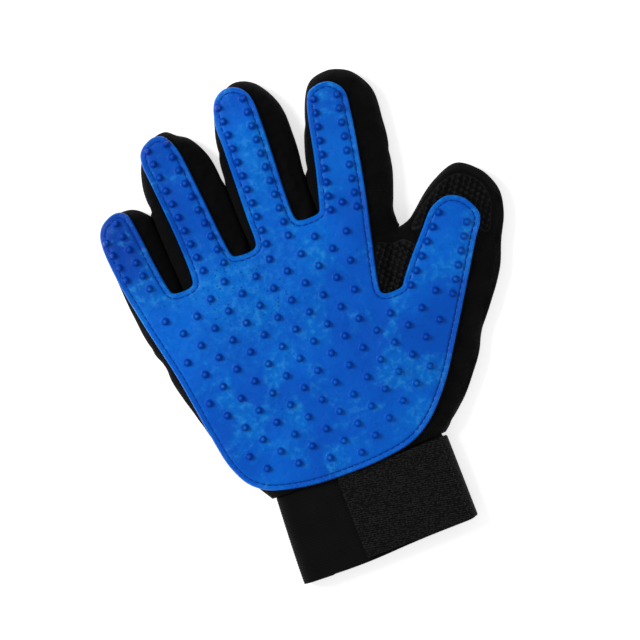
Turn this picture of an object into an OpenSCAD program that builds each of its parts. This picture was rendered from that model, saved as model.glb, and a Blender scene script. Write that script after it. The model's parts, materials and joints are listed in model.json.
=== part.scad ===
// Grooming glove, right hand, lying on its back with the studded palm up.
// Lengths are millimetres. +X points to the thumb side, +Y to the fingertips, +Z out of the palm.
// The glove is drawn from the middle of the cuff's open edge, and place() then moves it so that
// the origin lies under the middle of the whole glove, on the surface that it rests on.

/* [Overall] */
// Distance from the cuff's open edge to the tip of the middle finger
glove_length = 237; // [225:1:250]
// Furthest reach of the little finger to the left of the cuff's middle
reach_left = 77; // [74:1:80]
// Furthest reach of the thumb to the right of the cuff's middle
reach_right = 111.4; // [108:0.2:114]

/* [Layers] */
// Thickness of the back panel of air mesh
back_t = 1.6; // [1:0.1:2]
// Height at which the side walls end and the palm cloth begins
wall_top = 11.8; // [10:0.1:14]
// Thickness of the side walls
wall_t = 1.4; // [1:0.1:2]
// Thickness of the palm cloth that backs the rubber pad
cloth_t = 1.2; // [0.8:0.1:1.6]
// Thickness of the rubber pad
pad_t = 2; // [1.5:0.1:2.5]
// Clearance on each side of a hinge line
hinge_gap = 0.3; // [0.2:0.1:0.5]

/* [Studs] */
// Radius of the round grooming studs
stud_r = 1.9; // [1.4:0.1:2.2]
// Height of a stud's centre above the pad
stud_lift = 0.9; // [0.5:0.1:1]
// Distance from the pad's edge to the nearest stud's centre
stud_margin = 7; // [6:0.5:9]
// Distance between studs along a finger
finger_stud_pitch = 6.8; // [6:0.1:9]

/* [Movement] */
// Bend of a finger at its knuckle
knuckle_bend = 65; // [40:5:65]
// Bend of a finger at its middle joint
middle_bend = 65; // [40:5:65]
// Bend of the thumb at its base
thumb_base_bend = 45; // [20:5:45]
// Bend of the thumb at its middle joint
thumb_tip_bend = 50; // [20:5:50]

/* [Cuff] */
// Width of the elastic cuff laid flat
cuff_w = 89; // [84:1:92]
// Length of the cuff from its open edge to the hand
cuff_len = 44; // [40:1:46]
// Height of the cuff as it lies
cuff_h = 11; // [9:0.5:11.5]
// Radius of the cuff's folded edges
cuff_edge_r = 3; // [2:0.5:4]
// Thickness of the elastic
elastic_t = 1.6; // [1:0.1:2]
// Place of the strap's free end, from the cuff's middle
strap_free_x = -12; // [-20:1:0]
// Place of the strap's fold beside its sewn end, from the cuff's middle
strap_fold_x = 38.4; // [36:0.2:40]
// Thickness of the strap
strap_t = 1.4; // [1:0.1:1.8]
// Thickness of the hook tape and of the loop tape, each
tape_t = 0.4; // [0.2:0.1:0.6]

/* [Hidden] */
$fn = 24;

// Colours of the finished pieces
rubber_blue = [0.03, 0.36, 0.80];
mesh_black = [0.10, 0.10, 0.11];
knit_black = [0.07, 0.07, 0.08];
elastic_black = [0.05, 0.05, 0.06];
strap_grey = [0.14, 0.14, 0.15];
thread_grey = [0.22, 0.22, 0.24];

// Heights of the layers, counted up from the surface that the glove lies on
cloth_z = wall_top;
pad_z = cloth_z + cloth_t;
pad_top = pad_z + pad_t;
stud_top = pad_top + stud_lift + stud_r;

// A finger is [knuckle point, lean from +Y in degrees, distance from knuckle to middle joint,
// cloth outline, pad outline, skew of the two hinge lines, bends at the two hinges,
// stud columns [left, right]], and an outline is [left, right, reach, length of the rounded tip]
finger_bends = [knuckle_bend, middle_bend];
thumb_bends = [thumb_base_bend, thumb_tip_bend];
square_hinges = [0, 0];
little = [[-64.9, 161], -5.7, 18, [-9.7, 15, 37.6, 14], [-9.3, 9.2, 37.5, 9.2], square_hinges,
    finger_bends, [-4.6, 4.4]];
ring = [[-31.9, 169], -4.6, 27, [-14.2, 20.6, 57.8, 28], [-9.6, 9.8, 56.8, 9.6], square_hinges,
    finger_bends, [-4.9, 5]];
middle = [[4.5, 174], 2.3, 30, [-14.4, 21, glove_length - 173.8, 29], [-11.3, 9.8, 61.8, 10.4],
    square_hinges, finger_bends, [-6, 4.7]];
index = [[40.4, 173.8], 12.5, 26, [-13.4, 24.9, 54.2, 26], [-10.2, 11.1, 49, 10.6], square_hinges,
    finger_bends, [-5.3, 6.2]];
thumb = [[79.3, 125.1], 34.6, 15, [-22.6, 21.4, 41.6, 24], [-16.2, 10.8, 25.8, 12.5], [-18.5, -11],
    thumb_bends, [-11, 5.6]];

function knuckle(f) = f[0];
function lean(f) = f[1];
function middle_joint(f) = f[2];
function cloth_of(f) = f[3];
function pad_of(f) = f[4];
function hinge_skew(f, joint) = f[5][joint];
function bend_of(f, joint) = f[6][joint];
function stud_columns(f) = f[7];
function left_of(outline) = outline[0];
function right_of(outline) = outline[1];
function reach_of(outline) = outline[2];
function tip_of(outline) = outline[3];

// Half width of the gap that lets two pieces of this height turn against each other at a joint
function notch(f, joint, height) = hinge_gap + height * tan(bend_of(f, joint) / 2);

// Points of a smooth curve through the given points, four steps to a stretch
function spline_at(a, b, c, d, u) = 0.5 * ((2 * b) + (c - a) * u
    + (2 * a - 5 * b + 4 * c - d) * u * u + (3 * b - a - 3 * c + d) * u * u * u);
function spline(p, steps = 4) = concat(
    [for (i = [0:len(p) - 2], k = [0:steps - 1])
        spline_at(p[max(i - 1, 0)], p[i], p[i + 1], p[min(i + 2, len(p) - 1)], k / steps)],
    [p[len(p) - 1]]);
function reversed(p) = [for (i = [len(p) - 1:-1:0]) p[i]];
function shifted(p, by) = [for (q = p) q + by];
function arc(centre, r, from, to, steps = 6) = [for (i = [0:steps])
    centre + r * [cos(from + (to - from) * i / steps), sin(from + (to - from) * i / steps)]];

// A point of a finger, along it from the knuckle and across it, in the glove's plane
function on_finger(f, along, across) = knuckle(f) + along * [sin(lean(f)), cos(lean(f))]
    + across * [cos(lean(f)), -sin(lean(f))];
// A point on a finger's knuckle hinge line, or one set back from it towards the wrist
function on_hinge(f, across, back = 0) =
    on_finger(f, across * tan(hinge_skew(f, 0)) - back, across);
// The ends of the knuckle hinge line at the cloth's two sides, a clearance before it
function cloth_left(f) = on_hinge(f, left_of(cloth_of(f)), hinge_gap);
function cloth_right(f) = on_hinge(f, right_of(cloth_of(f)), hinge_gap);
// The corners of the palm's pad at a finger, set back so that the finger's pad can turn
pad_back = 2.4;
function pad_left(f) = on_hinge(f, left_of(pad_of(f)), pad_back);
function pad_right(f) = on_hinge(f, right_of(pad_of(f)), pad_back);

// Outline of a finger in its own frame: straight sides from a foot behind the knuckle, which the
// hinge line cuts off, and a rounded tip, all drawn in by a wall's thickness or not
foot = 12;
function finger_outline(outline, in = 0, steps = 12) =
    let (left = left_of(outline) + in, right = right_of(outline) - in,
        reach = reach_of(outline) - in, tip = tip_of(outline) - in,
        mid = (left + right) / 2, half = (right - left) / 2)
    concat([[left, -foot]],
        [for (i = [0:steps]) [mid - half * cos(180 * i / steps),
            reach - tip + tip * sin(180 * i / steps)]],
        [[right, -foot]]);

// Little-finger side and thumb side of the hand, from the cuff to the first hinge lines
left_side = spline([[-44.6, cuff_len], [-47.5, 49.5], [-52.5, 56.5], [-57.4, 66], [-60.2, 78],
    [-63.8, 92], [-67, 106], [-70, 121], [-72.8, 136], [-74.6, 150], cloth_left(little)]);
right_side = spline([cloth_right(thumb), [92.5, 100.8], [84, 89.4], [75.8, 76], [66.8, 64.2],
    [56, 53], [45, cuff_len]]);
thumb_crotch = [60.4, 143.6];

// Outline of the hand's cloth, with the thumb's and fingers' hinge lines as its far edges
hand_outline = concat(left_side, [
    cloth_right(little), cloth_left(ring), cloth_right(ring), cloth_left(middle),
    cloth_right(middle), cloth_left(index), cloth_right(index), thumb_crotch,
    cloth_left(thumb)], right_side);

// Outline of the palm pad: round heel, slots between the fingers, and the thumb's branch
slot_r = 3;
heel = spline([[57.8, 72], [48.2, 60], [40, 52], [33, 47.4], [21, 43.6], [8, 42.1], [-14, 42.1],
    [-29.8, 44], [-42, 47], [-50.2, 52], [-55, 59], [-58.2, 66], [-60.2, 78], [-62.8, 90],
    [-64.6, 105], [-66.5, 120], [-70.2, 138], [-73.2, 151], pad_left(little)]);
function slot(left, right, base) = concat(arc([left + slot_r, base + slot_r], slot_r, 180, 270),
    arc([right - slot_r, base + slot_r], slot_r, 270, 360));
pad_outline = concat(heel,
    [pad_right(little)], slot(-54.3, -42.2, 152.4), [pad_left(ring)],
    [pad_right(ring)], slot(-20.6, -7.4, 158.5), [pad_left(middle)],
    [pad_right(middle)], slot(14.4, 27.4, 163.4), [pad_left(index)], [pad_right(index)],
    spline([[48.2, 156.8], [44.5, 140.5], [40.6, 122]]), slot(39.6, 51.6, 115.4),
    spline([[52.6, 119.6], [60, 128.4], pad_left(thumb)]),
    [pad_right(thumb), [81, 108], [73.2, 96], [65.5, 84]]);

// Distance from a point to the nearest edge of an outline, and whether it lies inside
function to_edge(p, a, b) = let (ab = b - a, u = max(0, min(1, ((p - a) * ab) / (ab * ab))))
    norm(p - a - u * ab);
function edge_distance(p, outline) = min([for (i = [0:len(outline) - 1])
    to_edge(p, outline[i], outline[(i + 1) % len(outline)])]);
function crosses(p, a, b) = (a[1] > p[1]) != (b[1] > p[1])
    && p[0] < a[0] + (b[0] - a[0]) * (p[1] - a[1]) / (b[1] - a[1]);
function inside(p, outline) = len([for (i = [0:len(outline) - 1])
    if (crosses(p, outline[i], outline[(i + 1) % len(outline)])) 1]) % 2 == 1;

// The palm's studs stand on a slanting square lattice, which reaches past the pad on all sides
stud_origin = [1.4, 107.3];
stud_step_a = [5.92, -8.4];
stud_step_b = [9.1, 5.35];
lattice_reach = 9;
palm_studs = [for (i = [-lattice_reach:lattice_reach], j = [-lattice_reach:lattice_reach])
    let (p = stud_origin + i * stud_step_a + j * stud_step_b)
    if (inside(p, pad_outline) && edge_distance(p, pad_outline) > stud_margin) p];

// The row of stitches that holds the pad, set in from its edge
stitch_inset = 4.4;
stitch_pitch = 3.2;
stitch_len = 2;
stitch_w = 0.6;
stitch_rise = 0.4;

module place() {
    translate([(reach_left - reach_right) / 2, -glove_length / 2, 0]) children();
}

module in_finger(f) {
    translate([knuckle(f)[0], knuckle(f)[1], 0]) rotate(-lean(f)) children();
}

module layer(outline, z, t) {
    translate([0, 0, z]) linear_extrude(t) polygon(outline);
}

// A block larger than any finger: everything past a line across the finger, or before it
block = [120, 90, 40];
module beyond(y, low = -1) {
    translate([-block[0] / 2, y, low]) cube(block);
}

// Everything of a finger that lies past its knuckle (joint 0) or its middle joint (joint 1)
module past(f, joint, height) {
    translate([0, joint * middle_joint(f), 0]) rotate(hinge_skew(f, joint))
        beyond(notch(f, joint, height));
}

// Everything of a finger that lies before its middle joint
module short_of(f, height) {
    translate([0, middle_joint(f), 0]) rotate(hinge_skew(f, 1))
        beyond(-notch(f, 1, height) - block[1]);
}

// One piece of a finger: part 0 lies between the hinges and part 1 past the second one
module finger_piece(f, part, height) {
    place() in_finger(f) intersection() {
        children();
        past(f, part, height);
        if (part == 0) short_of(f, height);
        else past(f, 1, height);
    }
}

module finger_back(f, part) {
    color(mesh_black) finger_piece(f, part, 0) layer(finger_outline(cloth_of(f)), 0, back_t);
}

module finger_sides(f, part) {
    color(knit_black) finger_piece(f, part, 0) difference() {
        layer(finger_outline(cloth_of(f)), back_t, wall_top - back_t);
        layer(finger_outline(cloth_of(f), wall_t), 0, wall_top + 1);
    }
}

module finger_cloth(f, part) {
    color(mesh_black) finger_piece(f, part, cloth_t)
        layer(finger_outline(cloth_of(f)), cloth_z, cloth_t);
}

module stud(p) {
    translate([p[0], p[1], pad_top + stud_lift]) sphere(r = stud_r);
}

// Signed distance of a point of a finger past a hinge line
function past_hinge(f, joint, p) = let (skew = hinge_skew(f, joint))
    (p[1] - joint * middle_joint(f)) * cos(skew) - p[0] * sin(skew);
// Whether a stud at this point is clear of the notch at a hinge
function clear_of(f, joint, p) =
    abs(past_hinge(f, joint, p)) > notch(f, joint, stud_top - wall_top) + stud_r;
// Two columns of studs run along a finger, from just past the knuckle
first_stud = 2;
function finger_studs(f, part) = let (edge = finger_outline(pad_of(f)))
    [for (x = stud_columns(f), y = [first_stud:finger_stud_pitch:reach_of(pad_of(f))])
        if (inside([x, y], edge) && edge_distance([x, y], edge) > 2 * stud_r
            && clear_of(f, 0, [x, y]) && clear_of(f, 1, [x, y])
            && (part == 0) == (past_hinge(f, 1, [x, y]) < 0)) [x, y]];

module finger_pad(f, part) {
    color(rubber_blue) {
        finger_piece(f, part, cloth_t + pad_t)
            layer(finger_outline(pad_of(f)), pad_z, pad_t);
        place() in_finger(f) for (p = finger_studs(f, part)) stud(p);
    }
}

module palm_back() {
    color(mesh_black) place() layer(hand_outline, 0, back_t);
}

module palm_cloth() {
    color(mesh_black) place() layer(hand_outline, cloth_z, cloth_t);
}

module palm_pad() {
    color(rubber_blue) place() {
        layer(pad_outline, pad_z, pad_t);
        for (p = palm_studs) stud(p);
    }
}

// An upright wall on the back panel, as high as the palm cloth's underside
module wall(outline) {
    color(knit_black) place() layer(outline, back_t, wall_top - back_t);
}

// A side wall of the hand: the curve, and the same curve moved in by a wall's thickness along
// the direction that lies square to the curve for most of its length
module wall_along(curve, inward) {
    wall(concat(curve, reversed(shifted(curve, wall_t * inward))));
}

module little_side_gusset() {
    wall_along(left_side, [1.06, -0.07]);
}

module thumb_side_gusset() {
    wall_along(right_side, [-0.84, 0.6]);
}

// The wall that closes the hand between two fingers: a narrow rib from their near corners back
// towards the slot in the pad, a little wider than the space between the corners
web_depth = 9;
web_margin = 0.8;
module web_between(f, g) {
    a = cloth_right(f);
    b = cloth_left(g);
    base_y = a[1] - web_depth;
    wall([a, b, b + [web_margin, -0.2], [b[0] + web_margin, base_y],
        [a[0] - web_margin, base_y], a - [web_margin, 0.1]]);
}

module web_little_ring() {
    web_between(little, ring);
}

module web_ring_middle() {
    web_between(ring, middle);
}

module web_middle_index() {
    web_between(middle, index);
}

// The wall round the crotch of the thumb, with inner corners set in by about a wall's thickness
module web_index_thumb() {
    wall([cloth_right(index), thumb_crotch, cloth_left(thumb), cloth_left(thumb) + [0.7, -1.6],
        thumb_crotch + [-0.7, -1.9], cloth_right(index) + [-wall_t, 0]]);
}

// The cuff's outline seen along the arm: a flat tube with round edges, drawn in or not
function cuff_outline(in) =
    let (r = cuff_edge_r - in / 2, x = cuff_w / 2 - in - r, low = in + r, high = cuff_h - in - r)
    concat(arc([x, low], r, -90, 0), arc([x, high], r, 0, 90), arc([-x, high], r, 90, 180),
        arc([-x, low], r, 180, 270));

module elastic_cuff() {
    color(elastic_black) place() translate([0, cuff_len, 0]) rotate([90, 0, 0]) difference() {
        linear_extrude(cuff_len) polygon(cuff_outline(0));
        translate([0, 0, -1]) linear_extrude(cuff_len + 2) polygon(cuff_outline(elastic_t));
    }
}

// The strap lies over the cuff from its sewn end on the thumb side, with hook tape under its
// free end and loop tape on the cuff below it
strap_y = 1.5;
strap_len = 39;
strap_gap = 0.1;
anchor_x = strap_fold_x + 2 * hinge_gap;
anchor_end_x = cuff_w / 2 - 1;
loop_tape_z = cuff_h;
hook_tape_z = loop_tape_z + tape_t + strap_gap;
strap_z = hook_tape_z + tape_t;
anchor_top = strap_z + strap_t - strap_gap;
tape_margin = 2;
hook_len = 26;
loop_len = 44;

module strip(x0, x1, y, len, z, t) {
    place() translate([x0, y, z]) cube([x1 - x0, len, t]);
}

module loop_tape() {
    color(strap_grey) strip(strap_free_x + tape_margin, strap_free_x + tape_margin + loop_len,
        strap_y + tape_margin, strap_len - 2 * tape_margin, loop_tape_z, tape_t);
}

module hook_tape() {
    color(knit_black) strip(strap_free_x + tape_margin, strap_free_x + tape_margin + hook_len,
        strap_y + tape_margin, strap_len - 2 * tape_margin, hook_tape_z, tape_t);
}

module strap() {
    color(strap_grey) strip(strap_free_x, strap_fold_x, strap_y, strap_len, strap_z, strap_t);
}

// The sewn end stands on the cuff itself, as thick as the strap and its tapes
module strap_anchor() {
    color(strap_grey) strip(anchor_x, anchor_end_x, strap_y, strap_len, cuff_h, anchor_top - cuff_h);
}

// Stitches along the strap's sewn end
module strap_thread() {
    x = anchor_x + stitch_w;
    color(thread_grey) for (y = [strap_y + 1:stitch_pitch:strap_y + strap_len - stitch_len])
        strip(x, x + stitch_w, y, stitch_len, anchor_top, stitch_rise);
}

// Stitches along the pad's heel, each one a short bar in the line set in from the edge
module pad_thread() {
    color(thread_grey) place() for (i = [1:len(heel) - 2]) {
        ahead = heel[i + 1] - heel[i - 1];
        inward = [ahead[1], -ahead[0]] / norm(ahead);
        at = heel[i] + stitch_inset * inward;
        translate([at[0], at[1], pad_top]) rotate(atan2(ahead[1], ahead[0]))
            translate([-stitch_len / 2, -stitch_w / 2, 0]) cube([stitch_len, stitch_w, stitch_rise]);
    }
}

// Each finger has a base piece between its two hinges and a tip piece past the second
module little_base_back() {
    finger_back(little, 0);
}

module little_base_sides() {
    finger_sides(little, 0);
}

module little_base_cloth() {
    finger_cloth(little, 0);
}

module little_base_pad() {
    finger_pad(little, 0);
}

module little_tip_back() {
    finger_back(little, 1);
}

module little_tip_sides() {
    finger_sides(little, 1);
}

module little_tip_cloth() {
    finger_cloth(little, 1);
}

module little_tip_pad() {
    finger_pad(little, 1);
}

module ring_base_back() {
    finger_back(ring, 0);
}

module ring_base_sides() {
    finger_sides(ring, 0);
}

module ring_base_cloth() {
    finger_cloth(ring, 0);
}

module ring_base_pad() {
    finger_pad(ring, 0);
}

module ring_tip_back() {
    finger_back(ring, 1);
}

module ring_tip_sides() {
    finger_sides(ring, 1);
}

module ring_tip_cloth() {
    finger_cloth(ring, 1);
}

module ring_tip_pad() {
    finger_pad(ring, 1);
}

module middle_base_back() {
    finger_back(middle, 0);
}

module middle_base_sides() {
    finger_sides(middle, 0);
}

module middle_base_cloth() {
    finger_cloth(middle, 0);
}

module middle_base_pad() {
    finger_pad(middle, 0);
}

module middle_tip_back() {
    finger_back(middle, 1);
}

module middle_tip_sides() {
    finger_sides(middle, 1);
}

module middle_tip_cloth() {
    finger_cloth(middle, 1);
}

module middle_tip_pad() {
    finger_pad(middle, 1);
}

module index_base_back() {
    finger_back(index, 0);
}

module index_base_sides() {
    finger_sides(index, 0);
}

module index_base_cloth() {
    finger_cloth(index, 0);
}

module index_base_pad() {
    finger_pad(index, 0);
}

module index_tip_back() {
    finger_back(index, 1);
}

module index_tip_sides() {
    finger_sides(index, 1);
}

module index_tip_cloth() {
    finger_cloth(index, 1);
}

module index_tip_pad() {
    finger_pad(index, 1);
}

module thumb_base_back() {
    finger_back(thumb, 0);
}

module thumb_base_sides() {
    finger_sides(thumb, 0);
}

module thumb_base_cloth() {
    finger_cloth(thumb, 0);
}

module thumb_base_pad() {
    finger_pad(thumb, 0);
}

module thumb_tip_back() {
    finger_back(thumb, 1);
}

module thumb_tip_sides() {
    finger_sides(thumb, 1);
}

module thumb_tip_cloth() {
    finger_cloth(thumb, 1);
}

module thumb_tip_pad() {
    finger_pad(thumb, 1);
}

palm_back();
little_side_gusset();
thumb_side_gusset();
web_little_ring();
web_ring_middle();
web_middle_index();
web_index_thumb();
palm_cloth();
palm_pad();
pad_thread();
little_base_back();
little_base_sides();
little_base_cloth();
little_base_pad();
little_tip_back();
little_tip_sides();
little_tip_cloth();
little_tip_pad();
ring_base_back();
ring_base_sides();
ring_base_cloth();
ring_base_pad();
ring_tip_back();
ring_tip_sides();
ring_tip_cloth();
ring_tip_pad();
middle_base_back();
middle_base_sides();
middle_base_cloth();
middle_base_pad();
middle_tip_back();
middle_tip_sides();
middle_tip_cloth();
middle_tip_pad();
index_base_back();
index_base_sides();
index_base_cloth();
index_base_pad();
index_tip_back();
index_tip_sides();
index_tip_cloth();
index_tip_pad();
thumb_base_back();
thumb_base_sides();
thumb_base_cloth();
thumb_base_pad();
thumb_tip_back();
thumb_tip_sides();
thumb_tip_cloth();
thumb_tip_pad();
elastic_cuff();
loop_tape();
hook_tape();
strap();
strap_anchor();
strap_thread();
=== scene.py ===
import json
import math

import bpy
import numpy as np
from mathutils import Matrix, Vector, kdtree, noise
from mathutils.geometry import delaunay_2d_cdt

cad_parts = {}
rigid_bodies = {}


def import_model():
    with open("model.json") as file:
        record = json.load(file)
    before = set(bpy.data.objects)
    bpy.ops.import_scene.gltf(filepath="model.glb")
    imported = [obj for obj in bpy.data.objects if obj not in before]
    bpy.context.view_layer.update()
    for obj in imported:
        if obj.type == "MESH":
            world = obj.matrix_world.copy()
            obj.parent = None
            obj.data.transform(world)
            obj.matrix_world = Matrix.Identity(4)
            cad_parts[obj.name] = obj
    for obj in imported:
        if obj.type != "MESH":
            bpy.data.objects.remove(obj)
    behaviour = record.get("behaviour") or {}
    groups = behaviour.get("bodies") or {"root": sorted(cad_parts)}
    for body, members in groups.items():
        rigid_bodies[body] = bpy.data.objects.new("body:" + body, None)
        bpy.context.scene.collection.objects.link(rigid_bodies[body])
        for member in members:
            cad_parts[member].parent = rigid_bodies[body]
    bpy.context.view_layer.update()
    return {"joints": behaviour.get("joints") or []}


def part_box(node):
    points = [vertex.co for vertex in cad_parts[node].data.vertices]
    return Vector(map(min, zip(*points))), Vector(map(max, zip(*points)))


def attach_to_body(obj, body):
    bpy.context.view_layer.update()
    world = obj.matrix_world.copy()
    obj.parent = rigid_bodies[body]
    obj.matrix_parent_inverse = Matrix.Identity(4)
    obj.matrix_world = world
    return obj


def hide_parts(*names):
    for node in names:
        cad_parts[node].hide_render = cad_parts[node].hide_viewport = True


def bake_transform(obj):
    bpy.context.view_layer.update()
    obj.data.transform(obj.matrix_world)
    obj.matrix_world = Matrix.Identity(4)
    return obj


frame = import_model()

MM = 0.001
cuff_low, cuff_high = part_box("elastic_cuff")
ORIGIN = np.array([(cuff_low.x + cuff_high.x) / 2, cuff_low.y, 0.0])

# Heights, from the frame
CLOTH_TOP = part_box("palm_cloth")[1].z / MM
PAD_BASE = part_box("little_tip_pad")[0].z / MM
STUD_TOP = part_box("palm_pad")[1].z / MM
CUFF_TOP = cuff_high.z / MM
STRAP_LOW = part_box("strap")[0].z / MM
STRAP_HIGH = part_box("strap")[1].z / MM

PAD_THICK = 2.0
PAD_EMBED = 0.15        # how far the pad's underside lies above the cloth's smooth crown
STUD_HEIGHT = STUD_TOP - PAD_BASE - PAD_THICK
SIDE_Z = 4.6            # height of the side seam, where palm cloth and back panel meet
SEAM_D = 0.02           # points nearer than this to the side seam lie on it
FLOOR_GAP = 0.15        # the back panel's lowest height
ROLL = 6.0              # width over which the cloth rolls down to the side seam
BACK_ROLL = 5.0
CLOTH_THICK = 0.7
BACK_INSET = 4.5        # width of the knit border round the back's air mesh

# How full the stuffed hand is in its middle, how far in from the side, and how low it starts
FULLNESS, FULL_REACH, FULL_SINK = 1.2, 22, 0.6
# Waves of a surface: height, size across, and the layer of the noise that shapes them
HAND_WAVES = ((0.9, 34, 3.1), (0.35, 13, 8.7))
CLOTH_FOLDS = ((0.5, 6.5, 21.3), (0.25, 3.2, 4.4))
BACK_FOLDS = ((0.5, 28, 40.2), (0.3, 9, 51.7))
RUBBER_WAVES = ((0.16, 8, 15.5),)
CUFF_WAVES = ((0.35, 16, 61.0),)
STRAP_WAVES = ((0.25, 14, 77.0),)
TAPE_FLUFF = ((0.14, 1.3, 90.0), (0.1, 3.1, 91.0))

# The glove's outline as five curves, little finger first: each ends in the slit beside its finger
OUTLINES = [
    [(-44.6, 43.5), (-57.5, 66), (-60.5, 78), (-69.5, 114), (-70, 120), (-73, 132), (-76, 162),
     (-76, 186), (-71.5, 196.5), (-58, 198), (-49.9, 190.5), (-49.8, 186), (-49, 153.8)],
    [(-48.3, 153.8), (-49, 200.5), (-46, 215), (-41.5, 222.5), (-36.5, 226), (-29, 227),
     (-24.5, 223.5), (-19.5, 220), (-14.5, 210.5), (-12, 196), (-11.2, 160.8)],
    [(-10.5, 160.8), (-11, 183), (-8.5, 209), (-2.5, 229.5), (1.5, 233.5), (9.5, 237), (15.5, 236),
     (21, 232), (27, 220.5), (28, 202), (25.5, 178.5), (24.9, 164.4)],
    [(25.6, 164.4), (26, 178.5), (28.5, 187), (34.5, 205), (44.5, 224), (53.5, 226.5),
     (59, 225.5), (65.5, 221.5), (71.5, 210.5), (71, 194), (67, 171.5), (61, 153), (59.6, 143.6)],
    [(59.6, 143.4), (65.5, 146), (83.5, 158.5), (96.5, 162.5), (105.5, 156), (109, 150.5),
     (111, 143), (109, 132), (103, 120), (98, 108), (80.5, 84), (73, 72), (55.5, 52), (45.2, 43.5)],
]
PAD_OUTLINE = [
    (12, 42.5), (-15, 42.3), (-29.8, 44), (-44, 48), (-50.2, 52), (-53.8, 56), (-58.2, 66),
    (-61.5, 84), (-65.8, 114), (-71.9, 144), (-75.9, 168), (-77, 186), (-76, 191.5), (-73, 195.8),
    (-66.2, 198.9), (-62.2, 198.2), (-59.8, 195.6), (-58.2, 187), (-56.2, 168), (-54.3, 155.4),
    (-53.4, 153.3), (-51.3, 152.4), (-45.2, 152.4), (-43.1, 153.3), (-42.2, 155.4), (-42, 174),
    (-44, 204), (-44.8, 216), (-43.7, 221), (-41, 224), (-35.1, 226.3), (-30.5, 225), (-28, 221.5),
    (-26, 216), (-23.5, 192), (-20.6, 161.5), (-19.7, 159.4), (-17.6, 158.5), (-10.4, 158.5),
    (-8.3, 159.4), (-7.4, 161.5), (-7, 174), (-5.5, 210), (-5, 222), (-1, 232.3), (5, 235.6),
    (11.2, 234), (14.5, 230.5), (16, 226), (16, 210), (14.2, 174), (14.4, 166.4), (15.3, 164.3),
    (17.4, 163.4), (24.4, 163.4), (26.5, 164.3), (27.4, 166.4), (32.8, 186), (38.2, 210),
    (40.2, 216), (42.4, 219.8), (49.1, 221.7), (53.5, 220.8), (57.5, 217), (58.9, 213), (58, 204),
    (51.2, 168), (45.5, 144), (40, 119.5), (40.3, 117.4), (42.2, 116.1), (49.2, 116), (51.1, 116.8),
    (52.4, 118.8), (58.2, 126), (69, 138), (77.5, 146.8), (85.5, 149.3), (90, 148.1), (94.7, 144),
    (97.9, 136), (96.5, 131.5), (92.5, 126), (81, 108), (65.5, 84), (53.2, 66), (40, 52),
    (29, 45.5)]
# Air mesh that shows on the palm side: the web beside the index finger, and the thumb's tip
MESH_PATCHES = [
    [(40, 112), (51, 114), (59, 122), (64, 131), (60, 137), (54, 137.5), (47, 140), (43, 132)],
    [(65, 140), (69.5, 145.6), (78, 152), (86, 156.3), (95, 157.6), (101, 154), (105, 148),
     (106, 141), (103.5, 133), (99, 126), (92, 132), (82, 140), (74, 140)],
]

# Half lengths of the soft stretches of cloth at a finger's two hinges
SOFT_HALVES = {"little": (8, 7.5), "ring": (9, 8), "middle": (8.4, 8), "index": (9, 8),
               "thumb": (4.4, 5.5)}
SPLIT_MARGIN = 0.15

# Studs: two columns along each finger, from the first stud to the last, and a slanting square
# lattice on the palm
STUD_COLUMNS = [
    ((-72, 167), (-74.3, 187)), ((-62.8, 159), (-66.6, 194)),
    ((-35.8, 158), (-40, 221)), ((-25.1, 158), (-30.5, 221)),
    ((-2.8, 159), (-0.8, 228)), ((8.4, 159), (11.8, 228)),
    ((31.8, 163), (43.2, 215.5)), ((44.1, 160), (54.5, 213.6)),
    ((54.5, 115.5), (79.5, 143.2)), ((71.8, 104.5), (90.5, 134.1)),
]
STUD_PITCH = 6.9
LATTICE_ORIGIN = np.array([1.4, 107.3])
LATTICE_A, LATTICE_B = np.array([5.92, -8.4]), np.array([9.1, 5.35])
LATTICE_REACH = 9       # steps of the lattice to each side of its origin
LATTICE_MARGIN = 7      # least distance of its studs from the pad's edge
# A stud's profile: radii, and the height at each as a share of the stud's own height
STUD_RADII = [0, 0.45, 0.85, 1.15, 1.35, 1.5, 1.65, 1.9, 2.4]
STUD_SHARES = [1, 0.98, 0.9, 0.74, 0.52, 0.3, 0.14, 0.04, 0]
STUD_SIDES = 16
# Where the painted shade on the studs is weaker, as the photographed studs hardly differ from the pad
# there: middle and reach
FAINT_STUDS = (((14, 78), 40), ((-70, 192), 30))

STITCH_INSET = 2.6


# ---- curves and fields in the plane
SPLINE_STEPS = 16       # points of a curve between two given ones


def spline(points, closed=False):
    """Points along a smooth curve through the given points, that doesn't overshoot at uneven gaps"""
    p = np.array(points, float)
    if closed:
        q = np.vstack([p[-1:], p, p[:2]])
    else:
        q = np.vstack([2 * p[:1] - p[1:2], p, 2 * p[-1:] - p[-2:-1]])
    knots = np.concatenate([[0], np.cumsum(np.sqrt(np.linalg.norm(np.diff(q, axis=0), axis=1)))])
    a, b, c, d = (q[i:len(q) - 3 + i, None, :] for i in range(4))
    ta, tb, tc, td = (knots[i:len(q) - 3 + i, None, None] for i in range(4))
    t = tb + (tc - tb) * np.linspace(0, 1, SPLINE_STEPS, endpoint=False)[None, :, None]
    ab = (a * (tb - t) + b * (t - ta)) / (tb - ta)
    bc = (b * (tc - t) + c * (t - tb)) / (tc - tb)
    cd = (c * (td - t) + d * (t - tc)) / (td - tc)
    abc = (ab * (tc - t) + bc * (t - ta)) / (tc - ta)
    bcd = (bc * (td - t) + cd * (t - tb)) / (td - tb)
    curve = (abc * (tc - t) + bcd * (t - tb)) / (tc - tb)
    return np.vstack([curve.reshape(-1, p.shape[1]), p[:1] if closed else p[-1:]])


def lengths_along(line):
    """The length of a line from its start to each of its points"""
    return np.concatenate([[0], np.cumsum(np.linalg.norm(np.diff(line, axis=0), axis=1))])


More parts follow.
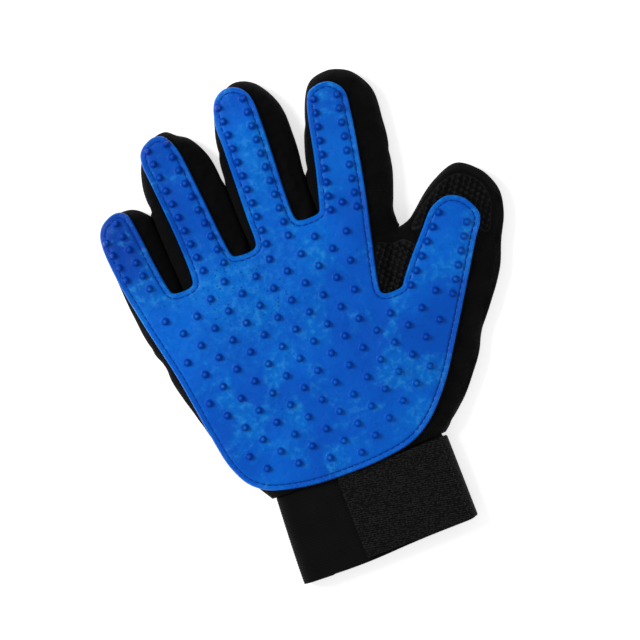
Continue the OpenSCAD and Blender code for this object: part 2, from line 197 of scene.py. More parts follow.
def resample(line, step):
    """Points about a step apart along a line"""
    lengths = lengths_along(line)
    at = np.linspace(0, 1, max(2, round(lengths[-1] / step)) + 1) * lengths[-1]
    return np.column_stack([np.interp(at, lengths, line[:, k]) for k in range(line.shape[1])])


def side_normals(line, closed=False):
    """Unit vectors to the left of a line at each of its points"""
    if closed:
        ahead = np.roll(line, -1, axis=0) - np.roll(line, 1, axis=0)
    else:
        ahead = np.gradient(line, axis=0)
    left = np.column_stack([-ahead[:, 1], ahead[:, 0]])
    return left / np.linalg.norm(left, axis=1)[:, None]


def points_tree(points):
    """A search tree over points in the plane or in space"""
    tree = kdtree.KDTree(len(points))
    for i, point in enumerate(points):
        tree.insert((*point, 0)[:3], i)
    tree.balance()
    return tree


def nearest(tree, xy):
    """The number of the tree's point nearest to each point of the plane, and how far away it is"""
    found = [tree.find((x, y, 0)) for x, y in xy]
    return np.array([number for _, number, _ in found]), np.array([gap for _, _, gap in found])


class Edge:
    """A line in the plane that other points are measured from, and the closed outline round it"""

    def __init__(self, line, outline):
        self.line, self.outline = line, outline
        x, y = outline.T
        self.inward = 1 if (x * np.roll(y, -1) - np.roll(x, -1) * y).sum() > 0 else -1
        self.along = lengths_along(line)
        self.tree = points_tree(line)

    def measure(self, xy):
        """(distance, positive inside; place along the line) for each point"""
        near, _ = nearest(self.tree, xy)
        best, along = np.full(len(xy), 1e9), np.zeros(len(xy))
        for first in (near - 1, near):
            a = np.clip(first, 0, len(self.line) - 2)
            start, span = self.line[a], self.line[a + 1] - self.line[a]
            length2 = np.maximum((span**2).sum(1), 1e-9)
            u = np.clip(((xy - start) * span).sum(1) / length2, 0, 1)
            gap = xy - start - u[:, None] * span
            distance = np.linalg.norm(gap, axis=1)
            closer = distance < best
            best = np.where(closer, distance, best)
            along = np.where(closer, self.along[a] + u * np.sqrt(length2), along)
        return np.where(crosses(self.outline, xy), best, -best), along


def dome(u):
    """Quarter of a circle: 0 at 0, 1 from 1 on, upright at 0"""
    return np.sqrt(np.clip(1 - (1 - np.clip(u, 0, 1)) ** 2, 0, 1))


def bump(distance, width):
    """1 at no distance, falling smoothly to 0 over about twice the width"""
    return np.exp(-((distance / width) ** 2))


def smooth_step(share):
    """0 to 1 as the share goes from 0 to 1, level at both ends"""
    share = np.clip(share, 0, 1)
    return share * share * (3 - 2 * share)


def closed_line(loop):
    """A loop's points with the first one again at the end"""
    return np.vstack([loop, loop[:1]])


def smooth_noise(xy, size, layer):
    """Soft random heights from -1 to 1 whose hills are about size across"""
    return np.array([noise.noise((x / size, y / size, layer)) for x, y in xy])


def waves(xy, parts):
    """Soft random heights in millimetres, the sum of several waves"""
    return sum(height * smooth_noise(xy, size, layer) for height, size, layer in parts)


def crosses(polygon, xy):
    """Whether each point lies inside a polygon"""
    inside = np.zeros(len(xy), bool)
    for a, b in zip(polygon, np.roll(polygon, -1, axis=0)):
        if a[1] != b[1]:
            over = (a[1] > xy[:, 1]) != (b[1] > xy[:, 1])
            inside ^= over & (xy[:, 0] < a[0] + (b[0] - a[0]) * (xy[:, 1] - a[1]) / (b[1] - a[1]))
    return inside


# Spacing of the points along the outlines
HAND_SPACING, WRIST_SPACING, PAD_SPACING, PATCH_SPACING = 1.2, 1.5, 0.9, 1.0
outline_curves = [resample(spline(points), HAND_SPACING) for points in OUTLINES]
hand_line = np.vstack(outline_curves)
wrist_line = resample(np.array([hand_line[-1], hand_line[0]]), WRIST_SPACING)[1:-1]
hand_loop = np.vstack([hand_line, wrist_line])
pad_loop = resample(spline(PAD_OUTLINE, closed=True), PAD_SPACING)[:-1]
patch_loops = [resample(spline(points, closed=True), PATCH_SPACING)[:-1] for points in MESH_PATCHES]
PALM_MIDDLE = (0, 100)
past_wrist = np.array([(hand_line[-1][0], 0), (hand_line[0][0], 0)])
hand_edge = Edge(hand_line, np.vstack([hand_line, past_wrist]))
pad_edge = Edge(closed_line(pad_loop), pad_loop)
patch_edges = [Edge(closed_line(loop), loop) for loop in patch_loops]


# ---- fingers and where they bend
def in_plane(point_m):
    """A place of the frame in the glove's own plane"""
    return (np.array(point_m) - ORIGIN)[:2] / MM


class Hinge:
    """A hinge line across a finger, with the soft stretch of cloth that bends round it"""

    def __init__(self, joint, towards, half):
        self.parent, self.child = joint["parent"], joint["child"]
        self.point = in_plane(joint["pos_m"])
        self.axis = np.array(joint["axis"][:2])
        self.normal = np.array([-self.axis[1], self.axis[0]])
        if self.normal @ (towards - self.point) < 0:
            self.normal = -self.normal
        self.half = half

    def split(self):
        """A point on the line where a piece of cloth ends, just before the soft stretch"""
        return self.point - (self.half + SPLIT_MARGIN) * self.normal

    def ends(self):
        """Where the soft stretch starts and ends, in the frame's own axes"""
        places = (self.point + side * self.half * self.normal for side in (-1, 1))
        return [tuple(to_frame((*place, 0))) for place in places]


def to_frame(points):
    """Places in the frame's own axes, in metres"""
    return np.asarray(points, float) * MM + ORIGIN


joints = {j["child"]: j for j in frame["joints"]}
hinges, seeds = {}, {"palm": PALM_MIDDLE}
for finger, (half_1, half_2) in SOFT_HALVES.items():
    base, tip = joints[finger + "_base"], joints[finger + "_tip"]
    knuckle, middle = in_plane(base["pos_m"]), in_plane(tip["pos_m"])
    hinges[finger + "_base"] = Hinge(base, middle, half_1)
    hinges[finger + "_tip"] = Hinge(tip, middle + (middle - knuckle), half_2)
    seeds[finger + "_base"] = knuckle
    seeds[finger + "_tip"] = middle
REGIONS = list(seeds)


SPLIT_SPACING, SPLIT_OVER = 0.9, 0.1    # spacing of a split line's points, and how far it sticks out


def across(hinge, loop, offsets):
    """The split line of a hinge across an outline, with points at the given offsets from its ends"""
    origin, direction = hinge.split(), hinge.axis
    a, b = loop, np.roll(loop, -1, axis=0)
    span, gap = b - a, a - origin
    det = direction[0] * span[:, 1] - direction[1] * span[:, 0]
    det = np.where(abs(det) < 1e-9, 1e-9, det)
    t = (gap[:, 0] * span[:, 1] - gap[:, 1] * span[:, 0]) / det
    u = (gap[:, 0] * direction[1] - gap[:, 1] * direction[0]) / det
    hits = t[(u >= 0) & (u < 1)]
    low, high = hits[hits < 0].max(), hits[hits > 0].min()
    near = np.array([-SPLIT_OVER, *offsets])
    inner = np.arange(low + offsets[-1] + SPLIT_SPACING, high - offsets[-1] - 0.5, SPLIT_SPACING)
    at = np.concatenate([low + near, inner, (high - near)[::-1]])
    return origin + at[:, None] * direction


# ---- heights of the cloth and the pad
def crown(xy, d):
    """Height of the stuffed hand above its own thickness at the side: fuller in the middle"""
    fullness = FULLNESS * (1 - bump(np.maximum(d, 0), FULL_REACH))
    return CLOTH_TOP - FULL_SINK + fullness + waves(xy, HAND_WAVES)


FOLD_FADE = 3           # the cloth's folds grow to their full height this far from the pad
BACK_LIFT = 0.5         # mean height of the back panel over its lowest one
BACK_SEAM, BACK_SEAM_WIDTH = 0.45, 0.5
PAD_DROOP, DROOP_REACH = 3, 7       # how far the pad bends down near the hand's side


def palm_cloth_height(xy, d, inset, wrinkles=1.0):
    """Height of the palm side's cloth, d inside the hand's side and inset inside the pad's edge"""
    outside = np.maximum(-inset, 0)
    rise = dome(np.minimum(d / np.maximum(d + outside, 1e-6), d / ROLL))
    folds = wrinkles * waves(xy, CLOTH_FOLDS) * np.clip(outside / FOLD_FADE, 0, 1)
    return SIDE_Z + (crown(xy, d) - SIDE_Z + folds) * rise


def back_height(xy, d):
    """Height of the back panel's outer face, which lies on the surface below"""
    lifted = FLOOR_GAP + BACK_LIFT + 0.5 * waves(xy, BACK_FOLDS)
    seam = BACK_SEAM * bump(d - BACK_INSET, BACK_SEAM_WIDTH)
    return SIDE_Z - (SIDE_Z - lifted) * dome(d / BACK_ROLL) + seam


def pad_base_height(xy, d):
    """Height of the pad's underside, which bends down with the cloth near the hand's side"""
    return crown(xy, d) - PAD_DROOP * (1 - dome((d + 1) / DROOP_REACH))


LIP, LIP_AT, LIP_WIDTH = 0.28, 0.7, 0.4
BORDER_DIP, BORDER_SLOPE = 0.25, 0.8
GROOVE, GROOVE_WIDTH = 0.4, 0.38
PAD_EDGE_R = 0.9


def pad_height(xy, d, inset, stud_gap):
    """Top of the rubber pad: round edge, raised lip, sunk border with its sewn groove, and studs"""
    top = pad_base_height(xy, d) + PAD_THICK + waves(xy, RUBBER_WAVES)
    top -= PAD_EDGE_R * (1 - dome(inset / PAD_EDGE_R))
    top += LIP * bump(inset - LIP_AT, LIP_WIDTH)
    top -= BORDER_DIP * np.clip((STITCH_INSET + BORDER_SLOPE - inset) / BORDER_SLOPE, 0, 1)
    top -= GROOVE * bump(inset - STITCH_INSET, GROOVE_WIDTH)
    return top + STUD_HEIGHT * np.interp(stud_gap, STUD_RADII, STUD_SHARES)


# Air mesh: oval holes in a staggered lattice
HOLE_ACROSS, HOLE_ALONG = 3.5, 4.6
HOLE_R = (1.05, 1.55)
HOLE_RIM, HOLE_SLOPE = 1.25, 0.5    # a hole's outer rim and its wall's width, as shares of its radius


def mesh_holes(xy):
    """1 in the middle of a hole of the air mesh, 0 on the threads"""
    holes = np.zeros(len(xy))
    for shift in (0, 0.5):
        x = (xy[:, 0] / HOLE_ACROSS + shift) % 1 - 0.5
        y = (xy[:, 1] / HOLE_ALONG + shift) % 1 - 0.5
        r = np.hypot(x * HOLE_ACROSS / HOLE_R[0], y * HOLE_ALONG / HOLE_R[1])
        holes = np.maximum(holes, np.clip(HOLE_RIM - r, 0, HOLE_SLOPE) / HOLE_SLOPE)
    return smooth_step(holes)


# ---- triangles
SHAKE = 0.06            # how far a grid's points are moved at random, as a share of its step


def hex_grid(box, step, seed):
    """Points of a slightly disturbed triangular grid over a box"""
    low, high = box
    rows = np.arange(low[1], high[1], step * math.sqrt(0.75))
    columns = np.arange(low[0], high[0], step)
    x, y = np.meshgrid(columns, rows)
    x = x + (np.arange(len(rows)) % 2)[:, None] * step / 2
    shake = np.random.default_rng(seed).uniform(-SHAKE, SHAKE, (x.size, 2)) * step
    return np.column_stack([x.ravel(), y.ravel()]) + shake


def triangulate(outline, fences=(), loops=(), points=()):
    """Triangles that fill a closed outline and keep every fence and loop as edges: their points,
    their corners and the number of the region that the fences put each of them in"""
    verts, edges = [], []

    def add(line, closed):
        first, count = len(verts), len(line)
        verts.extend(map(tuple, line))
        spans = range(count if closed else count - 1)
        edges.extend((first + i, first + (i + 1) % count) for i in spans)

    add(outline, True)
    first_fence = len(edges)
    for fence in fences:
        add(fence, False)
    last_fence = len(edges)
    for loop in loops:
        add(loop, True)
    verts.extend(map(tuple, points))
    found = delaunay_2d_cdt([Vector(v) for v in verts], edges, [], 0, 1e-4, True)
    xy, faces = np.array([tuple(v) for v in found[0]]), np.array(found[2])
    walls = {tuple(sorted(edge)) for edge, made_of in zip(found[1], found[4])
             if any(first_fence <= i < last_fence for i in made_of)}
    faces = faces[crosses(outline, xy[faces].mean(axis=1))]
    return xy, faces, face_regions(xy, faces, walls)


def face_regions(xy, faces, walls):
    """The region of each triangle: triangles that meet without a wall between them share one"""
    parent = list(range(len(faces)))

    def root(i):
        while parent[i] != i:
            parent[i] = parent[parent[i]]
            i = parent[i]
        return i

    first = {}
    for i, (a, b, c) in enumerate(faces.tolist()):
        for edge in ((a, b), (b, c), (c, a)):
            edge = edge if edge[0] < edge[1] else edge[::-1]
            if edge not in walls:
                if edge in first:
                    parent[root(i)] = root(first[edge])
                else:
                    first[edge] = i
    roots = np.array([root(i) for i in range(len(faces))])
    middles = xy[faces].mean(axis=1)
    numbers = np.full(len(faces), -1)
    for number, seed in enumerate(seeds.values()):
        closest = np.argmin(((middles - np.array(seed)) ** 2).sum(1))
        numbers[roots == roots[closest]] = number
    return numbers


def compact(verts, faces, *extra):
    """Only the vertices that the faces use"""
    used, inverse = np.unique(faces, return_inverse=True)
    return (verts[used], inverse.reshape(faces.shape), *(e[used] for e in extra))


WELD = 2000             # places that agree to 1 / WELD are one


def weld(verts, faces, *extra):
    """Joins vertices that lie in one place, and drops faces that this flattens or lays back to back"""
    keys = np.round(verts * WELD).astype(np.int64)
    _, first, inverse = np.unique(keys, axis=0, return_index=True, return_inverse=True)
    faces = inverse.reshape(-1)[faces]
    corners = np.sort(faces, axis=1)
    whole = (corners[:, 0] != corners[:, 1]) & (corners[:, 1] != corners[:, 2])
    _, number, uses = np.unique(corners, axis=0, return_inverse=True, return_counts=True)
    faces = faces[whole & (uses[number.reshape(-1)] == 1)]
    return (verts[first], faces, *(e[first] for e in extra))


def vertex_normals(verts, faces):
    """Unit vectors out of a surface at its vertices"""
    a, b, c = (verts[faces[:, k]] for k in range(3))
    flat = np.cross(b - a, c - a)
    normals = np.zeros_like(verts)
    for k in range(3):
        np.add.at(normals, faces[:, k], flat)
    return normals / np.maximum(np.linalg.norm(normals, axis=1), 1e-12)[:, None]


def border_edges(faces):
    """Edges with a face on one side only, in that face's direction"""
    edges = np.vstack([faces[:, [0, 1]], faces[:, [1, 2]], faces[:, [2, 0]]])
    keys = np.sort(edges, axis=1)
    order = np.lexsort((keys[:, 1], keys[:, 0]))
    keys = keys[order]
    same = np.zeros(len(keys), bool)
    same[1:] |= (keys[1:] == keys[:-1]).all(1)
    same[:-1] |= (keys[1:] == keys[:-1]).all(1)
    return edges[order][~same]


def closed_wall(verts, faces, inner, *extra):
    """A surface, its inner copy and the rims between them, as one closed skin"""
    rim = border_edges(faces)
    count = len(verts)
    sides = np.vstack([
        np.column_stack([rim[:, 1], rim[:, 0], rim[:, 0] + count]),
        np.column_stack([rim[:, 1], rim[:, 0] + count, rim[:, 1] + count])])
    skin = np.vstack([faces, faces[:, ::-1] + count, sides])
    return (np.vstack([verts, inner]), skin, *(np.concatenate([e, e]) for e in extra))


def grid_faces(rows, columns, wrap=False):
    """Triangles between the points of a grid, row by row, closed on itself along a row or not"""
    r, c = np.meshgrid(np.arange(rows - 1), np.arange(columns if wrap else columns - 1), indexing="ij")
    a, b = r * columns + c, r * columns + (c + 1) % columns
    quads = np.stack([a, b, b + columns, a + columns], axis=-1).reshape(-1, 4)
    return np.vstack([quads[:, [0, 1, 2]], quads[:, [0, 2, 3]]])


# ---- pieces
SHARP_ANGLE = math.radians(62)


def add_object(name, data):
    """A new object in the scene"""
    made = bpy.data.objects.new(name, data)
    bpy.context.scene.collection.objects.link(made)
    return made


def make_piece(name, verts, faces, weave, material, tone=None):
    """A mesh object in the frame's own axes, with its pattern coordinates in millimetres and a mask of
    painted shade and highlight
    """
    mesh = bpy.data.meshes.new(name)
    mesh.from_pydata(to_frame(verts).tolist(), [], np.asarray(faces).tolist())
    pattern = mesh.attributes.new("weave", "FLOAT_VECTOR", "POINT")
    pattern.data.foreach_set("vector", np.asarray(weave, float).ravel())
    mask = np.zeros(len(verts)) if tone is None else tone
    mesh.attributes.new("tone", "FLOAT", "POINT").data.foreach_set("value", mask)
    mesh.shade_smooth()
    mesh.set_sharp_from_angle(angle=SHARP_ANGLE)
    mesh.materials.append(material)
    return add_object(name, mesh)


def attach(piece, region):
    """Binds a palm piece to its body to ride with it; a finger's piece is only baked in place, and the
    ends of its hinge's soft stretch are found but not used to bend it
    """
    if region in hinges:
        hinge = hinges[region]
        start, end = hinge.ends()
        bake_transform(piece)
    else:
        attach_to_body(piece, region)
    return piece


def flat_weave(xy):
    """Pattern coordinates of a piece that lies flat: its own places in the plane"""
    return np.column_stack([xy, np.zeros(len(xy))])


# ---- materials
class Paint:
    """A short way to write one material's nodes, over the pieces' own pattern coordinates"""

    def __init__(self, name, **shader_values):
        self.material = bpy.data.materials.new(name)
        self.material.use_nodes = True
        self.tree = self.material.node_tree
        self.shader = self.tree.nodes["Principled BSDF"]
        for socket, value in shader_values.items():
            self.shader.inputs[socket.replace("_", " ")].default_value = value
        self.place = self.add("ShaderNodeAttribute", attribute_name="weave").outputs["Vector"]
        # the mask of painted shade and highlight
        self.tone = self.add("ShaderNodeAttribute", attribute_name="tone").outputs["Fac"]

    def add(self, kind, inputs=None, **settings):
        node = self.tree.nodes.new(kind)
        for key, value in settings.items():
            setattr(node, key, value)
        for key, value in (inputs or {}).items():
            if isinstance(value, bpy.types.NodeSocket):
                self.tree.links.new(value, node.inputs[key])
            else:
                node.inputs[key].default_value = value
        return node

    def math(self, operation, a, b=0.0):
        return self.add("ShaderNodeMath", {0: a, 1: b}, operation=operation).outputs[0]

    def times(self, a, b):
        return self.math("MULTIPLY", a, b)

    def scaled(self, x=1.0, y=1.0, turn=0.0):
        values = {"Vector": self.place, "Scale": (x, y, 1.0), "Rotation": (0, 0, turn)}
        return self.add("ShaderNodeMapping", values).outputs[0]

    def noise(self, scale, detail=3.0, vector=None, roughness=0.55, distortion=0.0):
        values = {"Vector": vector or self.place, "Scale": scale, "Detail": detail,
                  "Roughness": roughness, "Distortion": distortion}
        return self.add("ShaderNodeTexNoise", values).outputs["Fac"]

    def cells(self, scale, vector=None):
        values = {"Vector": vector or self.place, "Scale": scale}
        return self.add("ShaderNodeTexVoronoi", values, feature="F1").outputs["Distance"]

    def bands(self, direction, values):
        values = {"Vector": self.place, **values}
        node = self.add("ShaderNodeTexWave", values, bands_direction=direction, wave_profile="SIN")
        return node.outputs["Fac"]

    def ramp(self, value, low, high, out_low=0.0, out_high=1.0):
        values = {"Value": value, "From Min": low, "From Max": high, "To Min": out_low,
                  "To Max": out_high}
        return self.add("ShaderNodeMapRange", values, interpolation_type="SMOOTHSTEP").outputs[0]

    def spot(self, middle, reach):
        """1 at a place of the pattern, falling softly to 0 at its reach"""
        away = self.add("ShaderNodeVectorMath", {0: self.place, 1: (*middle, 0)}, operation="DISTANCE")
        return self.ramp(away.outputs["Value"], 0, reach, 1, 0)

    def mix(self, share, a, b):
        return self.add("ShaderNodeMix", {0: share, 6: a, 7: b}, data_type="RGBA").outputs[2]

    def bump(self, height, distance_mm, strength=1.0, normal=None):
        values = {"Height": height, "Distance": distance_mm * MM, "Strength": strength}
        if normal is not None:
            values["Normal"] = normal
        return self.add("ShaderNodeBump", values).outputs["Normal"]

    def finish(self, color=None, roughness=None, normal=None):
        for socket, value in (("Base Color", color), ("Roughness", roughness), ("Normal", normal)):
            if value is not None:
                self.tree.links.new(value, self.shader.inputs[socket])
        return self.material


def grey(value, blue=1.0):
    """A grey with its blue made stronger or weaker"""
    return (value, value, value * blue, 1)


# The rubber's blues, among them painted reflections, painted shade and painted highlights, and the
# spots of painted shade and painted highlight where the photographed pad is deeper or brighter:
# (middle, reach, share, colour)
DEEP_BLUE, MID_BLUE, REFLECTION_PATCH_BLUE = (0.0, 0.1, 0.62, 1), (0.0, 0.155, 0.78, 1), (0.0, 0.235, 0.8, 1)
SPOT_REFLECTION_BLUE, MOTTLE_BLUE, GLINT_REFLECTION_BLUE = (0.0, 0.2, 0.8, 1), (0.0, 0.075, 0.5, 1), (0.03, 0.32, 0.84, 1)
STUD_SHADE_BLUE, RIM_HIGHLIGHT_BLUE, DUST = (0.0, 0.042, 0.4, 1), (0.005, 0.27, 0.85, 1), (0.0, 0.03, 0.2, 1)
# a spot of painted reflection on the upper palm, round which the dust specks gather too
REFLECTION_AND_DUST_MIDDLE, REFLECTION_AND_DUST_REACH = (-22, 142), 55
SHADE_AND_HIGHLIGHT_SPOTS = (((12, 84), 42, 0.5, (0.0, 0.08, 0.56, 1)), ((-71, 190), 54, 0.9, (0.0, 0.045, 0.38, 1)),
         ((-38, 222), 30, 0.75, (0.0, 0.06, 0.46, 1)), ((45, 186), 36, 0.45, (0.0, 0.21, 0.84, 1)))


def rubber_material():
    """Moulded silicone: painted reflections as hazy lighter patches and glints, spots of painted shade
    and painted highlight, deeper patches at random, fine mould texture, dust specks. The mask of
    painted shade and highlight is above 0 for painted shade on studs and in the groove, and below 0
    for a painted highlight on the raised rim."""
    p = Paint("rubber", Specular_IOR_Level=0.11)
    reflection_patches = p.noise(0.04, 4.0, roughness=0.62, distortion=0.8)
    deep = p.noise(0.018, 2.0)
    color = p.mix(p.ramp(deep, 0.36, 0.64), DEEP_BLUE, MID_BLUE)
    # painted reflection: hazy lighter patches
    color = p.mix(p.ramp(reflection_patches, 0.46, 0.68, 0, 0.6), color, REFLECTION_PATCH_BLUE)
    # a spot of painted reflection, round which the dust specks below also gather
    reflection_and_dust_spot = p.spot(REFLECTION_AND_DUST_MIDDLE, REFLECTION_AND_DUST_REACH)
    color = p.mix(p.times(reflection_and_dust_spot, 0.5), color, SPOT_REFLECTION_BLUE)
    # spots of painted shade and painted highlight
    for middle, reach, share, spot_colour in SHADE_AND_HIGHLIGHT_SPOTS:
        color = p.mix(p.times(p.spot(middle, reach), share), color, spot_colour)
    mottle = p.noise(0.28, 5.0, roughness=0.65)
    color = p.mix(p.ramp(mottle, 0.3, 0.52, 0.3, 0), color, MOTTLE_BLUE)
    # painted reflection: lighter glints inside the painted reflections
    reflection_area = p.math("MAXIMUM", p.ramp(reflection_patches, 0.46, 0.62), p.times(reflection_and_dust_spot, 0.8))
    reflection_glints = p.times(p.ramp(mottle, 0.48, 0.64), reflection_area)
    color = p.mix(p.times(reflection_glints, 0.55), color, GLINT_REFLECTION_BLUE)
    # painted shade on the studs' sides and in the groove, with a painted highlight at each stud's tip
    color = p.mix(p.ramp(p.tone, 0, 1, 0, 0.72), color, STUD_SHADE_BLUE)
    # painted highlight on the raised rim
    color = p.mix(p.ramp(p.tone, -0.8, 0, 0.6, 0), color, RIM_HIGHLIGHT_BLUE)
    dusty = p.ramp(p.noise(0.05, 3.0, p.scaled(1, 1.3, 0.7)), 0.5, 0.62, 0, 0.6)
    dusty = p.math("MAXIMUM", dusty, p.ramp(reflection_and_dust_spot, 0.25, 0.8))
    specks = p.times(p.ramp(p.cells(0.42), 0.02, 0.26, 1, 0), dusty)
    fine_specks = p.times(p.ramp(p.cells(0.95), 0.0, 0.3, 0.8, 0), dusty)
    color = p.mix(p.math("MAXIMUM", specks, fine_specks), color, DUST)
    rough = p.ramp(p.noise(0.3, 4.0), 0.3, 0.7, 0.28, 0.46)
    grain = p.bump(p.noise(1.3, 5.0, roughness=0.65), 0.12)
    return p.finish(color, rough, p.bump(mottle, 0.5, 0.8, grain))


WALE, COURSE = 1.1, 0.8     # width of the knit's columns and height of its rows
KNIT_LEAN = 1.2             # how steeply the two arms of a stitch's V rise


def knit_height(p):
    """Height of plain knitting: columns of small V shapes"""
    parts = p.add("ShaderNodeSeparateXYZ", {"Vector": p.place})
    along, around = parts.outputs[0], parts.outputs[1]
    column = p.math("SUBTRACT", p.math("FRACT", p.math("DIVIDE", around, WALE)), 0.5)
    lean = p.times(p.math("ABSOLUTE", column), KNIT_LEAN)
    row = p.math("FRACT", p.math("ADD", p.math("DIVIDE", along, COURSE), lean))
    strand = p.math("SINE", p.times(row, math.pi))
    valley = p.math("SINE", p.times(p.math("ABSOLUTE", column), 2 * math.pi))
    return p.times(strand, valley)


def knit_material():
    """Fine stretch knit, slightly fuzzy, nearly black"""
    p = Paint("knit", Sheen_Weight=0.01, Sheen_Roughness=0.45, Specular_IOR_Level=0.05)
    height = knit_height(p)
    fuzz = p.noise(0.9, 5.0)
    shade = p.times(height, p.ramp(fuzz, 0.3, 0.7, 0.5, 1))
    color = p.mix(shade, grey(0.0018, 1.05), grey(0.009, 1.08))
    color = p.mix(p.ramp(p.noise(0.03, 3.0), 0.35, 0.7, 0, 0.35), color, grey(0.0045, 1.1))
    normal = p.bump(height, 0.25, 0.9, p.bump(fuzz, 0.12, 0.5))
    return p.finish(color, p.ramp(fuzz, 0.2, 0.8, 0.62, 0.85), normal)


def air_mesh_material():
    """Open spacer mesh: smooth threads round holes darkened with painted shade, which the mask gives"""
    p = Paint("air_mesh", Sheen_Weight=0.012, Sheen_Roughness=0.4, Specular_IOR_Level=0.1)
    threads = p.noise(1.1, 4.0, p.scaled(1.0, 2.6))
    color = p.mix(p.ramp(threads, 0.3, 0.7), grey(0.004, 1.05), grey(0.011, 1.08))
    # painted shade in the holes
    color = p.mix(p.ramp(p.tone, 0.05, 0.6), color, grey(0.0005))
    return p.finish(color, p.ramp(threads, 0.2, 0.8, 0.45, 0.7), p.bump(threads, 0.2, 0.8))


def elastic_material():
    """Covered elastic: fine cross threads and a little fuzz over the modelled ribs"""
    p = Paint("elastic", Sheen_Weight=0.02, Sheen_Roughness=0.5, Specular_IOR_Level=0.07)
    cross = p.bands("X", {"Scale": 0.55, "Distortion": 0.4})
    fuzz = p.noise(1.4, 4.0, p.scaled(1.0, 3.0))
    height = p.math("ADD", p.times(cross, 0.5), fuzz)
    color = p.mix(p.ramp(height, 0.4, 1.2), grey(0.0015), grey(0.0075))
    color = p.mix(p.ramp(p.noise(0.05, 2.0), 0.35, 0.7, 0, 0.5), color, grey(0.0065, 0.9))
    return p.finish(color, p.ramp(fuzz, 0.2, 0.8, 0.6, 0.85), p.bump(height, 0.18, 0.9))


def strap_material():
    """Napped webbing: short slanting rows of soft loops"""
    p = Paint("strap_webbing", Sheen_Weight=0.04, Sheen_Roughness=0.5, Specular_IOR_Level=0.07)
    slant = math.radians(13)
    wales = p.bands("Y", {"Vector": p.scaled(turn=slant), "Scale": 0.3, "Distortion": 1.6,
                          "Detail": 2.0, "Detail Scale": 1.4})
    nap = p.ramp(p.cells(1.15, p.scaled(0.8, 1.25, slant)), 0.1, 0.75, 1, 0)
    fuzz = p.noise(1.6, 4.0)
    height = p.math("ADD", p.times(nap, 0.7), p.times(wales, 0.45))
    shade = p.ramp(p.math("ADD", height, p.times(fuzz, 0.4)), 0.35, 1.25)
    color = p.mix(shade, grey(0.0025), grey(0.021, 0.97))
    normal = p.bump(height, 0.35, 0.9, p.bump(fuzz, 0.15))
    return p.finish(color, p.ramp(fuzz, 0.2, 0.8, 0.7, 0.95), normal)


def loop_material():
    """Fluffy loop tape"""
    p = Paint("loop_tape", Sheen_Weight=0.04, Sheen_Roughness=0.5, Specular_IOR_Level=0.1)
    fluff = p.noise(1.3, 6.0, distortion=2.0)
    color = p.mix(fluff, grey(0.003), grey(0.022))
    return p.finish(color, p.ramp(fluff, 0.2, 0.8, 0.8, 1), p.bump(fluff, 0.5))


def hook_material():
    """Moulded nylon of the hook tape"""
    p = Paint("hook_tape", Specular_IOR_Level=0.2)
    grain = p.noise(2.0, 3.0)
    color = p.mix(grain, grey(0.006), grey(0.02))
    return p.finish(color, p.ramp(grain, 0.2, 0.8, 0.35, 0.55), p.bump(grain, 0.08))


def thread_material(name, low, high):
    """Twisted thread between two shades"""
    p = Paint(name, Sheen_Weight=0.03, Specular_IOR_Level=0.15)
    twist = p.bands("DIAGONAL", {"Scale": 1.6, "Distortion": 0.5})
    return p.finish(p.mix(twist, low, high), p.ramp(twist, 0, 1, 0.5, 0.75), p.bump(twist, 0.1))


rubber = rubber_material()
knit = knit_material()
air_mesh = air_mesh_material()
elastic = elastic_material()
strap_cloth = strap_material()
blue_thread = thread_material("pad_thread_blue", (0.0, 0.035, 0.28, 1), (0.0, 0.085, 0.5, 1))
black_thread = thread_material("seam_thread_black", grey(0.006), grey(0.03))


def stud_centres():
    """Places of all studs: the fingers' columns first, then the palm's lattice clear of them"""
    columns = np.vstack([resample(np.array(ends, float), STUD_PITCH) for ends in STUD_COLUMNS])
    reach = range(-LATTICE_REACH, LATTICE_REACH + 1)
    lattice = np.array([LATTICE_ORIGIN + i * LATTICE_A + j * LATTICE_B for i in reach for j in reach])
    inset = pad_edge.measure(lattice)[0]
    clear = np.linalg.norm(lattice[:, None] - columns[None], axis=2).min(1) > STUD_PITCH - 1
    keep = (inset > LATTICE_MARGIN) & clear & (region_of(lattice) == 0)
    return np.vstack([columns, lattice[keep]])


# ---- the cloth hand
# Distances inside the side seam of the rings of points that shape the rolled side
FABRIC_OFFSETS = (0.12, 0.45, 1.0, 1.8, 2.8, 4.0)
# Grids of points: step, least distance inside the edge, and least distance from other lines
FINE_GRID, COARSE_GRID, PATCH_GRID = (0.85, 4.5, 0.45), (4.0, 5, 2), (0.5, 0.3, 0.3)
BACK_GRID = (0.72, BACK_INSET + 0.3, 0.36)
RING_MARGIN, RING_GAP = 0.05, 0.25      # the same two distances for the points of the rings
FINE_END, COARSE_START = 1.5, 2.5       # how far under the pad fine triangles end and coarse ones start
RING_SHARE = 0.93       # a ring's point is dropped where another stretch of line comes nearer than this


def offset_rings(line, edge, offsets, closed=False):
    """Points at the given distances inside a line, where no other stretch of it is nearer"""
    normals = side_normals(line, closed) * edge.inward
    rings = []
    for offset in offsets:
        ring = line + normals * offset
        rings.append(ring[edge.measure(ring)[0] > offset * RING_SHARE])
    return np.vstack(rings)


def clear_points(points, edge, margin, lines, gap):
    """The points further inside an edge than margin, and further than gap from each line's points"""
    points = points[edge.measure(points)[0] > margin]
    return points[nearest(points_tree(np.vstack(lines)), points)[1] > gap]


def grid_in(box, grid, seed, edge, lines):
    """Points of a grid over a box, clear of an edge and of other lines"""
    step, margin, gap = grid
    return clear_points(hex_grid(box, step, seed), edge, margin, lines, gap)


GLOVE_BOX = ((-80, 44.5), (114, 240))
fabric_splits = [across(h, hand_loop, FABRIC_OFFSETS) for h in hinges.values()]
ring_points = np.vstack([offset_rings(curve, hand_edge, FABRIC_OFFSETS) for curve in outline_curves])
ring_points = ring_points[ring_points[:, 1] > hand_loop[-1][1] + 0.5]
seams = fabric_splits + [wrist_line]


